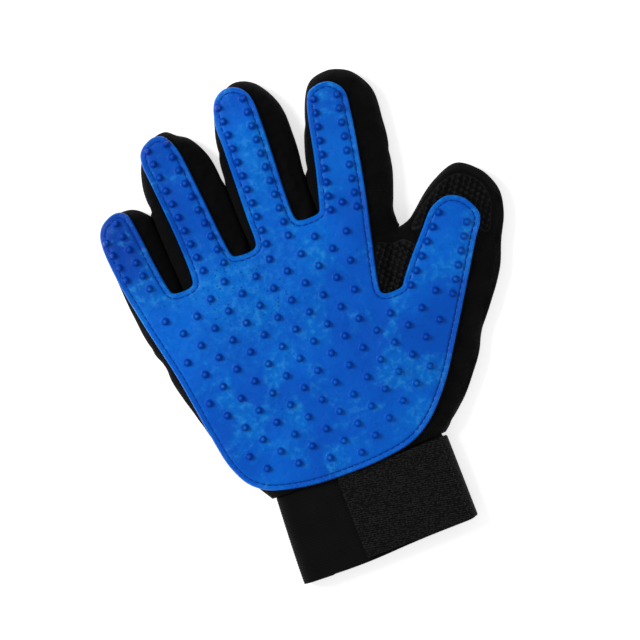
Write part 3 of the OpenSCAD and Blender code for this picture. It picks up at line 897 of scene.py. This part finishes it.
def palm_cloth_surface():
    """Triangles of the palm side: fine where cloth shows, coarse under the pad"""
    lines = seams + patch_loops
    fine = grid_in(GLOVE_BOX, FINE_GRID, 1, hand_edge, lines)
    fine = fine[pad_edge.measure(fine)[0] < FINE_END]
    fine = fine[~np.logical_or(*[crosses(loop, fine) for loop in patch_loops])]
    patched = [grid_in((loop.min(axis=0), loop.max(axis=0)), PATCH_GRID, 5, edge, seams)
               for loop, edge in zip(patch_loops, patch_edges)]
    coarse = grid_in(GLOVE_BOX, COARSE_GRID, 2, hand_edge, lines)
    coarse = coarse[pad_edge.measure(coarse)[0] > COARSE_START]
    rings = clear_points(ring_points, hand_edge, RING_MARGIN, lines, RING_GAP)
    points = np.vstack([fine, *patched, coarse, rings])
    return triangulate(hand_loop, fabric_splits, patch_loops, points)


def back_surface():
    """Triangles of the back: fine enough all over for the air mesh's holes"""
    fine = grid_in(GLOVE_BOX, BACK_GRID, 3, hand_edge, seams)
    panel_seam = offset_rings(hand_line, hand_edge, (BACK_INSET,))
    rings = clear_points(ring_points, hand_edge, RING_MARGIN, seams, RING_GAP)
    return triangulate(hand_loop, fabric_splits, (), np.vstack([fine, panel_seam, rings]))


top_xy, top_faces, top_regions = palm_cloth_surface()
low_xy, low_faces, low_regions = back_surface()
region_tree = points_tree(top_xy[top_faces].mean(axis=1))


def region_of(xy):
    """The number of the region that each point lies in"""
    return top_regions[nearest(region_tree, xy)[0]]


AROUND_SHARE = 0.8      # length round the rolled side, as a share of its width and height together


def cloth_weave(z, d, along, side):
    """Pattern coordinates of the knit: along the side seam, and round the side from it"""
    around = side * AROUND_SHARE * (np.maximum(d, 0) + np.abs(z - SIDE_Z))
    return np.column_stack([along, around, np.zeros(len(z))])


# Fingers nearer to each other than the gap are closed up, from the slit to the reach inside it
CLOSED_GAP, CLOSED_REACH, CLOSED_LAP = 1.1, 2.4, 0.14
TRACE_SPACING = 0.4
curve_trees = [points_tree(resample(curve, TRACE_SPACING)) for curve in outline_curves]


def close_slits(xy, d):
    """Swells the cloth sideways where two fingers press on each other, so no gap is left.
    Returns the new places, and how much of a sideways move each point is still free to make."""
    moved, free = xy.copy(), np.ones(len(xy))
    for i in np.flatnonzero(d < CLOSED_REACH):
        point = (xy[i][0], xy[i][1], 0)
        near = sorted((tree.find(point)[2], k) for k, tree in enumerate(curve_trees))
        (own, k), (other, j) = near[:2]
        gap = other - own
        if gap < CLOSED_GAP * 1.5 and abs(k - j) == 1:
            hold = min(1, (CLOSED_GAP * 1.5 - gap) / (CLOSED_GAP * 0.5)) * (1 - d[i] / CLOSED_REACH)
            moved[i, 0] += np.sign(j - k) * (gap / 2 + CLOSED_LAP) * hold
            free[i] = 1 - hold
    return moved, free


def settled(xy, z, d):
    """Points of the cloth after its slits are closed and it has followed the simulation"""
    closed, free = close_slits(xy, d)
    moves = follow_cloth(np.column_stack([xy, z]))
    return np.column_stack([closed, z]) + moves * np.column_stack([free, free, np.ones(len(xy))])


# The cloth is a little larger than the pad it is sewn to, so it is simulated once on a coarse
# copy of the hand, held at the pad and the wrist, and every fine surface follows that copy.
SIM_STEP, SIM_EDGE_STEP, SIM_MARGIN, SIM_SCALE, SIM_FRAMES = 3.0, 2.4, 1.7, 0.01, 22
SIM_GROWTH, SIM_PRESSURE = 0.065, 0.1
SIM_CAP, SIM_SIDEWAYS = 1.3, 0.5        # the furthest move, and the share of it kept sideways
SIM_BLUR, SIM_BROAD = 1.9, 13.0         # how softly it is followed; swelling this broad is taken out
SIM_NEIGHBOURS = 7
HELD_INSET, HELD_WRIST = -0.8, 46       # held from just outside the pad's edge, and below this Y
CLOTH_SETTINGS = {"quality": 6, "mass": 0.2, "tension_stiffness": 12, "compression_stiffness": 12,
                  "shear_stiffness": 6, "bending_stiffness": 0.05, "air_damping": 2,
                  "vertex_group_mass": "held", "shrink_min": -SIM_GROWTH, "use_pressure": True,
                  "uniform_pressure_force": SIM_PRESSURE}


def coarse_hand():
    """A closed skin of the hand in wide triangles: points, faces and whether each point is held"""
    loop = resample(closed_line(hand_loop), SIM_EDGE_STEP)[:-1]
    grid = hex_grid(GLOVE_BOX, SIM_STEP, 7)
    xy, faces, _ = triangulate(loop, points=grid[hand_edge.measure(grid)[0] > SIM_MARGIN])
    d = np.maximum(hand_edge.measure(xy)[0], 0)
    inset = pad_edge.measure(xy)[0]
    upper, lower = palm_cloth_height(xy, d, inset, 0.0), back_height(xy, d)
    upper[d < SEAM_D] = lower[d < SEAM_D] = SIDE_Z
    at_wrist = xy[:, 1] < HELD_WRIST
    verts = np.vstack([np.column_stack([xy, upper]), np.column_stack([xy, lower])])
    held = np.concatenate([(inset > HELD_INSET) | at_wrist, at_wrist])
    return weld(verts, np.vstack([faces, faces[:, ::-1] + len(xy)]), held)


def simulate_cloth():
    """Rest points of the coarse hand and how far the cloth simulation moves each of them"""
    verts, faces, held = coarse_hand()
    mesh = bpy.data.meshes.new("cloth_trial")
    mesh.from_pydata((verts * SIM_SCALE).tolist(), [], faces.tolist())
    trial = add_object("cloth_trial", mesh)
    trial.vertex_groups.new(name="held").add([int(i) for i in np.flatnonzero(held)], 1.0, "REPLACE")
    cloth = trial.modifiers.new("Cloth", "CLOTH")
    for name, value in CLOTH_SETTINGS.items():
        setattr(cloth.settings, name, value)
    cloth.settings.effector_weights.gravity = 0
    cloth.collision_settings.use_collision = False
    cloth.point_cache.frame_start, cloth.point_cache.frame_end = 1, SIM_FRAMES
    for frame_number in range(1, SIM_FRAMES + 1):
        bpy.context.scene.frame_set(frame_number)
    ready = trial.evaluated_get(bpy.context.evaluated_depsgraph_get())
    result = np.zeros(len(verts) * 3)
    ready.data.vertices.foreach_get("co", result)
    moves = result.reshape(-1, 3) / SIM_SCALE - verts
    bpy.data.objects.remove(trial)
    bpy.data.meshes.remove(mesh)
    bpy.context.scene.frame_set(1)
    tree = points_tree(verts)
    nearby = ([n[1] for n in tree.find_range(v, SIM_BROAD)] for v in verts)
    broad = np.array([moves[numbers].mean(axis=0) for numbers in nearby])
    moves = np.where(held[:, None], 0, moves - broad)
    lengths = np.maximum(np.linalg.norm(moves, axis=1), 1e-6)[:, None]
    moves *= SIM_CAP * np.tanh(lengths / SIM_CAP) / lengths
    return verts, moves * (SIM_SIDEWAYS, SIM_SIDEWAYS, 1)


def follow_cloth(points):
    """How far each of the points moves with the simulated hand round it"""
    if not len(cloth_moves):
        return np.zeros_like(points)
    moved = np.zeros_like(points)
    for i, point in enumerate(points):
        near = cloth_tree.find_n(point, SIM_NEIGHBOURS)
        weights = np.array([math.exp(-((n[2] / SIM_BLUR) ** 2)) + 1e-9 for n in near])
        moved[i] = weights @ cloth_moves[[n[1] for n in near]] / weights.sum()
    return moved


cloth_rest, cloth_moves = simulate_cloth()
cloth_tree = points_tree(cloth_rest)

PATCH_SEAM, PATCH_SEAM_WIDTH = 0.35, 0.45
HOLES_IN = 0.6          # the back's holes start this far inside its panel's seam

top_d, top_along = hand_edge.measure(top_xy)
top_d = np.maximum(top_d, 0)
top_inset = pad_edge.measure(top_xy)[0]
top_z = palm_cloth_height(top_xy, top_d, top_inset)
on_patch = np.zeros(len(top_xy))
for patch_edge in patch_edges:
    depth = patch_edge.measure(top_xy)[0]
    top_z -= PATCH_SEAM * bump(depth, PATCH_SEAM_WIDTH) * dome(top_d / 2)
    on_patch = np.maximum(on_patch, np.clip(depth, 0, 1))
top_holes = mesh_holes(top_xy) * on_patch
top_z[top_d < SEAM_D] = SIDE_Z
top_place = settled(top_xy, top_z, top_d)
middles = top_xy[top_faces].mean(axis=1)
patch_faces = np.logical_or(*[crosses(loop, middles) for loop in patch_loops])

low_d, low_along = hand_edge.measure(low_xy)
low_d = np.maximum(low_d, 0)
low_z = back_height(low_xy, low_d)
low_holes = mesh_holes(low_xy) * np.clip(low_d - BACK_INSET - HOLES_IN, 0, 1)
low_z[low_d < SEAM_D] = SIDE_Z
low_place = settled(low_xy, low_z, low_d)
low_place[:, 2] = np.maximum(low_place[:, 2], FLOOR_GAP)
panel_faces = low_d[low_faces].mean(axis=1) > BACK_INSET

MESH_DEPTH, MESH_THICK = 0.6, 0.9


def cloth_piece(region, name):
    """The knit of one region: the palm side, the rolled sides and the border of the back"""
    number = REGIONS.index(region)
    upper = top_faces[(top_regions == number) & ~patch_faces]
    lower = low_faces[(low_regions == number) & ~panel_faces][:, ::-1] + len(top_xy)
    verts = np.vstack([top_place, low_place])
    weave = np.vstack([cloth_weave(top_z, top_d, top_along, 1),
                       cloth_weave(low_z, low_d, low_along, -1)])
    verts, faces, weave = compact(verts, np.vstack([upper, lower]), weave)
    verts, faces, weave = weld(verts, faces, weave)
    inner = verts - CLOTH_THICK * vertex_normals(verts, faces)
    piece = make_piece(name, *closed_wall(verts, faces, inner, weave), knit)
    return attach(piece, region)


def mesh_piece(region, name, place, faces, holes):
    """One panel of air mesh, sunk at its holes, on the palm side or the back, if it has any faces"""
    if not len(faces):
        return None
    base, faces, holes = compact(place, faces, holes)
    normals = vertex_normals(base, faces)
    outer = base - MESH_DEPTH * holes[:, None] * normals
    inner = base - MESH_THICK * normals
    # the holes' mask also carries the painted shade in them
    verts, faces, weave, tone = closed_wall(outer, faces, inner, flat_weave(base[:, :2]), holes)
    piece = make_piece(name, verts, faces, weave, air_mesh, tone)
    return attach(piece, region)


PALM_CLOTH_NODES = ["little_side_gusset", "thumb_side_gusset", "web_little_ring", "web_ring_middle",
                    "web_middle_index", "web_index_thumb", "palm_cloth"]
for number, region in enumerate(REGIONS):
    cloth = cloth_piece(region, region + "_knit_cloth")
    back = mesh_piece(region, region + "_back_air_mesh", low_place,
                      low_faces[(low_regions == number) & panel_faces][:, ::-1], low_holes)
    mesh_piece(region, region + "_palm_air_mesh", top_place,
               top_faces[(top_regions == number) & patch_faces], top_holes)
    if region == "palm":
        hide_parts(*PALM_CLOTH_NODES)
    else:
        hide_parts(region + "_sides", region + "_cloth")
    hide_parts(region + "_back")


# ---- the rubber pad
# Distances inside the pad's edge of the rings of points that shape its lip and groove
PAD_OFFSETS = (0.15, 0.4, 0.7, 1.0, 1.4, 1.8, 2.15, 2.4, 2.6, 2.8, 3.1, 3.6, 4.3)
PAD_BOX, PAD_GRID = ((-80, 40), (100, 238)), (1.25, PAD_OFFSETS[-1] + 0.5, 0.5)
STUD_CLEAR = 0.35       # no other point of the pad lies nearer than this to a stud's foot
pad_splits = [across(h, pad_loop, PAD_OFFSETS[:7]) for h in hinges.values()]
studs = stud_centres()
turn = np.linspace(0, 2 * math.pi, STUD_SIDES, endpoint=False)
circle = np.column_stack([np.cos(turn), np.sin(turn)])
stud_loops = [centre + r * circle for centre in studs for r in STUD_RADII[1:]]
stud_tree = points_tree(studs)


def pad_surface():
    """Triangles of the pad: its outline, rings inside it, studs and a grid"""
    grid = grid_in(PAD_BOX, PAD_GRID, 4, pad_edge, pad_splits)
    points = np.vstack([grid, offset_rings(pad_loop, pad_edge, PAD_OFFSETS, closed=True)])
    points = np.vstack([points[nearest(stud_tree, points)[1] > STUD_RADII[-1] + STUD_CLEAR], studs])
    return triangulate(pad_loop, pad_splits, stud_loops, points)


pad_xy, pad_faces, pad_regions = pad_surface()
pad_d = hand_edge.measure(pad_xy)[0]
pad_inset = np.maximum(pad_edge.measure(pad_xy)[0], 0)
_, pad_stud_gap = nearest(stud_tree, pad_xy)
pad_z = pad_height(pad_xy, pad_d, pad_inset, pad_stud_gap)
pad_low_z = pad_base_height(pad_xy, pad_d) + PAD_EMBED
# Painted shade and highlight: painted shade round a stud's side with a painted highlight at its tip,
# painted shade in the groove and a painted highlight on the rim
SHADE_REACH, SHADE_FADE = 2.7, 1.2
TIP_LIGHT, TIP_WIDTH, FAINTNESS = 0.85, 0.65, 0.5
GROOVE_SHADE_AMOUNT, GROOVE_SHADE_WIDTH = 0.35, 0.35
RIM_HIGHLIGHT_AMOUNT, RIM_AT, RIM_WIDTH = 0.34, 0.3, 0.45
stud_shade = (np.clip((SHADE_REACH - pad_stud_gap) / SHADE_FADE, 0, 1)
              * (1 - TIP_LIGHT * bump(pad_stud_gap, TIP_WIDTH)))
for faint, reach in FAINT_STUDS:
    stud_shade *= 1 - FAINTNESS * bump(np.linalg.norm(pad_xy - faint, axis=1), reach)
pad_shading = (stud_shade + GROOVE_SHADE_AMOUNT * bump(pad_inset - STITCH_INSET, GROOVE_SHADE_WIDTH)
            - RIM_HIGHLIGHT_AMOUNT * bump(pad_inset - RIM_AT, RIM_WIDTH))


def pad_piece(region, name):
    """The rubber of one region"""
    number = REGIONS.index(region)
    upper = np.column_stack([pad_xy, pad_z])
    lower = np.column_stack([pad_xy, pad_low_z])
    upper, faces, lower, tone = compact(upper, pad_faces[pad_regions == number], lower, pad_shading)
    verts, faces, tone = closed_wall(upper, faces, lower, tone)
    piece = make_piece(name, verts, faces, flat_weave(verts[:, :2]), rubber, tone)
    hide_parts(region + "_pad")
    return attach(piece, region)


for region in REGIONS:
    pad_piece(region, region + "_rubber_pad")


# ---- stitches
STITCH_SIDES = 6
# Along a stitch: place as a share of its length, radius as a share of its full one
STITCH_ROWS = [(-0.5, 0.02), (-0.45, 0.6), (-0.3, 1.0), (0.3, 1.0), (0.45, 0.6), (0.5, 0.02)]


def stitch_shape(length, radius):
    """A round-ended bar along X, with the origin in its middle"""
    turns = np.linspace(0, 2 * math.pi, STITCH_SIDES, endpoint=False)
    verts = [(x * length, r * radius * math.cos(a), r * radius * math.sin(a))
             for x, r in STITCH_ROWS for a in turns]
    return np.array(verts), grid_faces(len(STITCH_ROWS), STITCH_SIDES, wrap=True)[:, ::-1]


def stitch_row(name, centres, ahead, up, length, radius, material, region):
    """Stitches at the given places, each turned to its own direction, on a surface that faces up"""
    shape, faces = stitch_shape(length, radius)
    ahead = ahead / np.linalg.norm(ahead, axis=1)[:, None]
    aside = np.cross(up, ahead)
    aside /= np.linalg.norm(aside, axis=1)[:, None]
    axes = np.stack([ahead, aside, np.cross(ahead, aside)], axis=1)
    verts = (np.einsum("vk,nkc->nvc", shape, axes) + centres[:, None, :]).reshape(-1, 3)
    all_faces = np.vstack([faces + i * len(shape) for i in range(len(centres))])
    weave = np.tile(shape, (len(centres), 1))
    piece = make_piece(name, verts, all_faces, weave, material)
    return attach(piece, region)


# A stitch is given by its length and radius
PAD_STITCH_PITCH, PAD_STITCH, PAD_STITCH_LIFT = 3.1, (2.2, 0.3), 0.12
SEAM_SHARE = 0.96       # as RING_SHARE, for the line of stitches
STUD_FREE = 9.0     # a distance at which no stud raises the rubber


def groove_height(xy):
    """Height of the pad's surface along its sewn groove"""
    d = hand_edge.measure(xy)[0]
    return pad_height(xy, d, np.full(len(xy), STITCH_INSET), np.full(len(xy), STUD_FREE))


def pad_stitches():
    """The stitches round the pad, one piece for each region"""
    ring = pad_loop + side_normals(pad_loop, closed=True) * pad_edge.inward * STITCH_INSET
    ring = ring[pad_edge.measure(ring)[0] > STITCH_INSET * SEAM_SHARE]
    places = resample(closed_line(ring), PAD_STITCH_PITCH)
    directions = np.gradient(places, axis=0)
    unit = directions / np.linalg.norm(directions, axis=1)[:, None]
    slope = (groove_height(places + unit) - groove_height(places - unit)) / 2
    centres = np.column_stack([places, groove_height(places) + PAD_STITCH_LIFT])
    ahead = np.column_stack([unit, slope])
    numbers = region_of(places)
    for number, region in enumerate(REGIONS):
        chosen = numbers == number
        row = stitch_row(region + "_pad_stitches", centres[chosen], ahead[chosen], (0, 0, 1),
                         *PAD_STITCH, blue_thread, region)
        if region == "palm":
            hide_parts("pad_thread")


pad_stitches()


# ---- cuff, strap and tapes
CUFF_LENGTH = 47.5      # with the part tucked into the hand
RIB_PITCH, RIB_HEIGHT = 1.3, 0.09
CUFF_SIDE_R = 5.0
CUFF_HALF = 44.2        # half of the flat tube's width
CUFF_LEFT, CUFF_RIGHT = 45.0, 43.4      # reach of its two sides at the open edge
CUFF_TAPER, RIGHT_TAPER = 2.4, 0.3      # how much nearer they are at the hand
TAPER_CURVE = 1.3
OPEN_Y, BOW, BOW_AT, BOW_WIDTH = 0.2, 1.3, -14, 22      # the open edge, and how it bows out
CORNER_DROP, CORNER_X = 0.3, -30        # its left part hangs out a little further
CUFF_WALL, CUFF_CLEAR = 1.3, 0.02       # its wall, and its lowest height
CUFF_SINK, SINK_WIDTH = 0.8, 30         # the top's hollow in the middle of the open edge
# Where and over what length it narrows into the hand, and by how much sideways and in height
TUCK_FROM, TUCK_OVER, TUCK_IN, TUCK_DOWN = 42, 3, 1.2, 0.17
CUFF_STEP, CUFF_CORNERS, CUFF_FLATS = 0.26, 17, 58
OUTER_LENGTH = 44       # the cuff's length outside the hand


def cuff_section():
    """A flat tube seen along the arm, as shares: (side, outwards at the side, up)"""
    flat = np.linspace(-1, 1, CUFF_FLATS + 2)[1:-1]
    corner = np.linspace(-math.pi / 2, math.pi / 2, CUFF_CORNERS)
    section = [(1, math.cos(a), math.sin(a)) for a in corner] + [(-x, 0, 1) for x in flat]
    section += [(-1, -math.cos(a), -math.sin(a)) for a in corner] + [(x, 0, -1) for x in flat]
    return np.array(section)


def elastic_cuff():
    """The ribbed tube, a little bowed at its open edge, tucked into the hand at its other end"""
    rows = np.arange(0, CUFF_LENGTH, CUFF_STEP)
    section = cuff_section()
    side, out, up = section.T
    outline = side * (CUFF_HALF - CUFF_SIDE_R) + out * CUFF_SIDE_R
    around = np.concatenate([[0], np.cumsum(np.abs(np.diff(outline)) + np.abs(np.diff(up)) * 3)])
    top = up.clip(0, 1)
    verts, weave = [], []
    for v in rows:
        tuck = smooth_step((v - TUCK_FROM) / TUCK_OVER)
        left = CUFF_LEFT - CUFF_TAPER * (v / OUTER_LENGTH) ** TAPER_CURVE - TUCK_IN * tuck
        right = CUFF_RIGHT - RIGHT_TAPER * v / OUTER_LENGTH - TUCK_IN * tuck
        rib = RIB_HEIGHT * math.cos(2 * math.pi * v / RIB_PITCH)
        x = side * (np.where(side > 0, right, left) - CUFF_SIDE_R) + out * (CUFF_SIDE_R + rib)
        bow = -BOW * bump(x - BOW_AT, BOW_WIDTH) - CORNER_DROP * (x < CORNER_X)
        y = v + bow * (1 - v / CUFF_LENGTH) ** 2 + OPEN_Y
        z = CUFF_TOP / 2 + up * (CUFF_TOP / 2 * (1 - TUCK_DOWN * tuck) + rib)
        z += waves(np.column_stack([x, y]), CUFF_WAVES) * top
        z -= CUFF_SINK * top * bump(x, SINK_WIDTH) * (1 - v / CUFF_LENGTH)
        verts.append(np.column_stack([x, y, np.maximum(z, CUFF_CLEAR)]))
        weave.append(np.column_stack([around, np.full(len(x), v), np.zeros(len(x))]))
    verts, weave = np.vstack(verts), np.vstack(weave)
    faces = grid_faces(len(rows), len(section), wrap=True)[:, ::-1]
    inner = verts - CUFF_WALL * vertex_normals(verts, faces)
    piece = make_piece("ribbed_elastic_cuff", *closed_wall(verts, faces, inner, weave), elastic)
    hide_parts("elastic_cuff")
    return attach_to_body(piece, "palm")


elastic_cuff()

strap_low, strap_high = (in_plane(corner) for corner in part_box("strap"))
STRAP_FREE_X = strap_low[0]
STRAP_Y = (strap_low[1] - 0.9, strap_high[1] + 1.5)     # a little wider than its solid
STRAP_THICK = STRAP_HIGH - STRAP_LOW
STRAP_CORNER_R, STRAP_EDGE_R, STRAP_EDGE = 1.2, 0.8, 0.35
STRAP_STEP, STRAP_ROWS, BEND_ROWS = 0.8, 56, 30
STRAP_SNUG = CUFF_SIDE_R + 0.3      # radius of its underside where it lies on the cuff's side
STRAP_TURN = 28                     # degrees that it wraps below the cuff's middle
SIDE_CENTRE = np.array([CUFF_RIGHT - CUFF_SIDE_R, CUFF_TOP / 2])


def strap_place(turn):
    """A point of the strap's underside round the cuff's side, turn degrees up from level"""
    radius = STRAP_SNUG + (STRAP_LOW - SIDE_CENTRE[1] - STRAP_SNUG) * np.clip(turn / 90, 0, 1) ** 2
    outwards = np.column_stack([np.cos(np.radians(turn)), np.sin(np.radians(turn))])
    return SIDE_CENTRE + radius[:, None] * outwards, outwards


def strap_path():
    """The strap's underside seen along the arm: flat over the cuff, then down round its side"""
    flat = np.arange(STRAP_FREE_X, SIDE_CENTRE[0], STRAP_STEP)
    bend, _ = strap_place(np.linspace(90, -STRAP_TURN, BEND_ROWS))
    return np.vstack([np.column_stack([flat, np.full(len(flat), STRAP_LOW)]), bend])


def strap_webbing():
    """The strap, with rounded corners at its free end and softly rounded edges"""
    path = strap_path()
    verts, inner, weave = [], [], []
    for (x, z), (nx, nz), s in zip(path, side_normals(path), lengths_along(path)):
        corner = max(0.0, STRAP_CORNER_R - s)
        trim = STRAP_CORNER_R - math.sqrt(max(STRAP_CORNER_R**2 - corner**2, 0))
        low, high = STRAP_Y[0] + trim, STRAP_Y[1] - trim
        y = low + (high - low) * np.linspace(0, 1, STRAP_ROWS)
        wave = waves(np.column_stack([np.full(len(y), x), y]), STRAP_WAVES)
        edge = STRAP_EDGE * (1 - dome(np.minimum(np.minimum(y - low, high - y), s) / STRAP_EDGE_R))
        outer = STRAP_THICK - edge + wave * min(abs(nz), 1)
        verts.append(np.column_stack([x + nx * outer, y, z + nz * outer]))
        inner.append(np.column_stack([x + nx * wave * 0.5, y, z + nz * wave * 0.5]))
        weave.append(np.column_stack([np.full(len(y), s), y, np.zeros(len(y))]))
    verts, inner, weave = (np.vstack(part) for part in (verts, inner, weave))
    skin = closed_wall(verts, grid_faces(len(path), STRAP_ROWS), inner, weave)
    piece = make_piece("napped_strap", *skin, strap_cloth)
    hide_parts("strap", "strap_anchor")
    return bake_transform(piece)


strap_webbing()


def tape_grid(node, step):
    """A grid of points over a CAD tape's own box, the grid's size, and the tape's two heights"""
    low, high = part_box(node)
    (x0, y0), (x1, y1) = in_plane(low), in_plane(high)
    x, y = np.meshgrid(np.arange(x0, x1 + step / 2, step), np.arange(y0, y1 + step / 2, step),
                       indexing="ij")
    return np.column_stack([x.ravel(), y.ravel()]), x.shape, low.z / MM, high.z / MM


LOOP_STEP, LOOP_FOLLOW, LOOP_SINK = 0.7, 0.3, 0.3


def loop_tape():
    """The fluffy tape on the cuff, which follows the cuff's own waves a little and is sewn into it"""
    xy, shape, low, high = tape_grid("loop_tape", LOOP_STEP)
    base = low + waves(xy, CUFF_WAVES) * LOOP_FOLLOW
    verts, faces = closed_wall(np.column_stack([xy, base + high - low + waves(xy, TAPE_FLUFF)]),
                               grid_faces(*shape), np.column_stack([xy, base - LOOP_SINK]))
    piece = make_piece("fluffy_loop_tape", verts, faces, flat_weave(verts[:, :2]), loop_material())
    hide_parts("loop_tape")
    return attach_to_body(piece, "palm")


# A hook seen from the side, from its foot to its tip, and its half width and thickness
HOOK_PATH = [(0, 0), (0.02, -0.14), (0.12, -0.24), (0.26, -0.24), (0.33, -0.16)]
HOOK_HALVES = (0.09, 0.13)
HOOK_ROWS, HOOK_COLUMNS, HOOK_SHIFT = 1.2, 1.3, 0.6
HOOK_MARGINS = (1, 0.8, 0.8, 0.6)       # of the backing round the hooks: low X, high X, low Y, high Y
BACKING_STEP, BACKING_THICK, BACKING_RISE, HOOK_ROOT = 1.3, 0.2, 0.05, 0.13


def hook_tape():
    """A thin backing with rows of small bent hooks under it"""
    xy, shape, _, high = tape_grid("hook_tape", BACKING_STEP)
    top = np.column_stack([xy, np.full(len(xy), high + BACKING_RISE)])
    verts, faces = closed_wall(top, grid_faces(*shape), top - (0, 0, BACKING_THICK))
    (x0, y0), (x1, y1) = xy.min(0), xy.max(0)
    left, right, lower, upper = HOOK_MARGINS
    all_verts, all_faces, count = [verts], [faces], len(verts)
    ring = np.array([(px + side * HOOK_HALVES[0], wide * HOOK_HALVES[1], pz) for px, pz in HOOK_PATH
                     for side, wide in ((-1, -1), (1, -1), (1, 1), (-1, 1))])
    cap = 4 * (len(HOOK_PATH) - 1)
    hook_faces = np.vstack([grid_faces(len(HOOK_PATH), 4, wrap=True),
                            [(cap, cap + 1, cap + 2), (cap, cap + 2, cap + 3)]])
    for row, x in enumerate(np.arange(x0 + left, x1 - right, HOOK_ROWS)):
        for y in np.arange(y0 + lower + HOOK_SHIFT * (row % 2), y1 - upper, HOOK_COLUMNS):
            all_verts.append(ring + (x, y, high - HOOK_ROOT))
            all_faces.append(hook_faces + count)
            count += len(ring)
    verts, faces = np.vstack(all_verts), np.vstack(all_faces)
    piece = make_piece("moulded_hook_tape", verts, faces, flat_weave(verts[:, :2]), hook_material())
    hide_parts("hook_tape")
    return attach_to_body(piece, "strap")


loop_tape()
hook_tape()

SEWN_TURN = 70          # degrees up from level, where the strap is sewn to the cuff's side
STRAP_STITCH_PITCH, STRAP_STITCH = 3.0, (2.1, 0.32)
ROW_ENDS = (1.6, 1)     # distances of the row's ends from the strap's edges


def strap_stitches():
    """The row of stitches across the strap's sewn end"""
    y = np.arange(STRAP_Y[0] + ROW_ENDS[0], STRAP_Y[1] - ROW_ENDS[1], STRAP_STITCH_PITCH)
    place, outwards = (part[0] for part in strap_place(np.array([SEWN_TURN])))
    x, z = place + STRAP_THICK * outwards
    centres = np.column_stack([np.full(len(y), x), y, np.full(len(y), z)])
    row = stitch_row("strap_stitches", centres, np.tile([0.0, 1.0, 0.0], (len(y), 1)),
                     (outwards[0], 0, outwards[1]), *STRAP_STITCH, black_thread, "palm")
    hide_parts("strap_thread")


strap_stitches()


# ---- floor, light and camera
# Lengths in this part are metres
FLOOR_HALF, FLOOR_Z, FLOOR_GLOW = 3.0, -0.0003, 0.62
# name: place, power in watts, size
LAMPS = {"key": ((-0.75, 0.55, 0.85), 9, 0.5), "fill": ((0.8, -0.5, 1.1), 1.5, 1.2),
         "front": ((-0.3, -1.1, 0.8), 1.0, 0.9)}
WORLD_LIGHT = 0.33
CAMERA_TURN = math.radians(-21.2)
VIEW_WIDTH, VIEW_CENTRE = 0.3072, (-0.0092, -0.0029)    # what the picture shows at the pad's height
CAMERA_HEIGHT = 1.8


def stage_floor():
    """A plain white floor that glows a little, so that it stays white in the photograph's way"""
    mesh = bpy.data.meshes.new("floor")
    signs = ((-1, -1), (1, -1), (1, 1), (-1, 1))
    corners = [(x * FLOOR_HALF, y * FLOOR_HALF, FLOOR_Z) for x, y in signs]
    mesh.from_pydata(corners, [], [(0, 1, 2, 3)])
    p = Paint("floor", Roughness=0.9, Specular_IOR_Level=0.1, Emission_Strength=FLOOR_GLOW,
              Emission_Color=(1, 1, 1, 1))
    cloud = p.add("ShaderNodeTexNoise", {"Scale": 3.0, "Detail": 2.0}).outputs["Fac"]
    mesh.materials.append(p.finish(p.mix(cloud, grey(0.9), grey(0.94))))
    add_object("floor", mesh)


def lamp(name, place, power, size):
    """A square lamp that points at the middle of the glove"""
    data = bpy.data.lights.new(name, "AREA")
    data.energy, data.size = power, size
    made = add_object(name, data)
    made.location = place
    made.rotation_mode = "QUATERNION"
    made.rotation_quaternion = (-Vector(place)).to_track_quat("-Z", "Y")


def place_camera():
    """Straight above, as the photograph was taken, turned so that the hand leans to the left"""
    data = bpy.data.cameras.new("camera")
    data.lens = data.sensor_width * (CAMERA_HEIGHT - PAD_BASE * MM) / VIEW_WIDTH
    data.clip_end = 20
    camera = add_object("camera", data)
    camera.location = (*VIEW_CENTRE, CAMERA_HEIGHT)
    camera.rotation_euler = (0, 0, CAMERA_TURN)
    bpy.context.scene.camera = camera


stage_floor()
for name, settings in LAMPS.items():
    lamp(name, *settings)
place_camera()
world = bpy.data.worlds.new("world")
world.use_nodes = True
background = world.node_tree.nodes["Background"]
background.inputs["Color"].default_value = (1, 1, 1, 1)
background.inputs["Strength"].default_value = WORLD_LIGHT
bpy.context.scene.world = world
bpy.context.scene.view_settings.view_transform = "Standard"
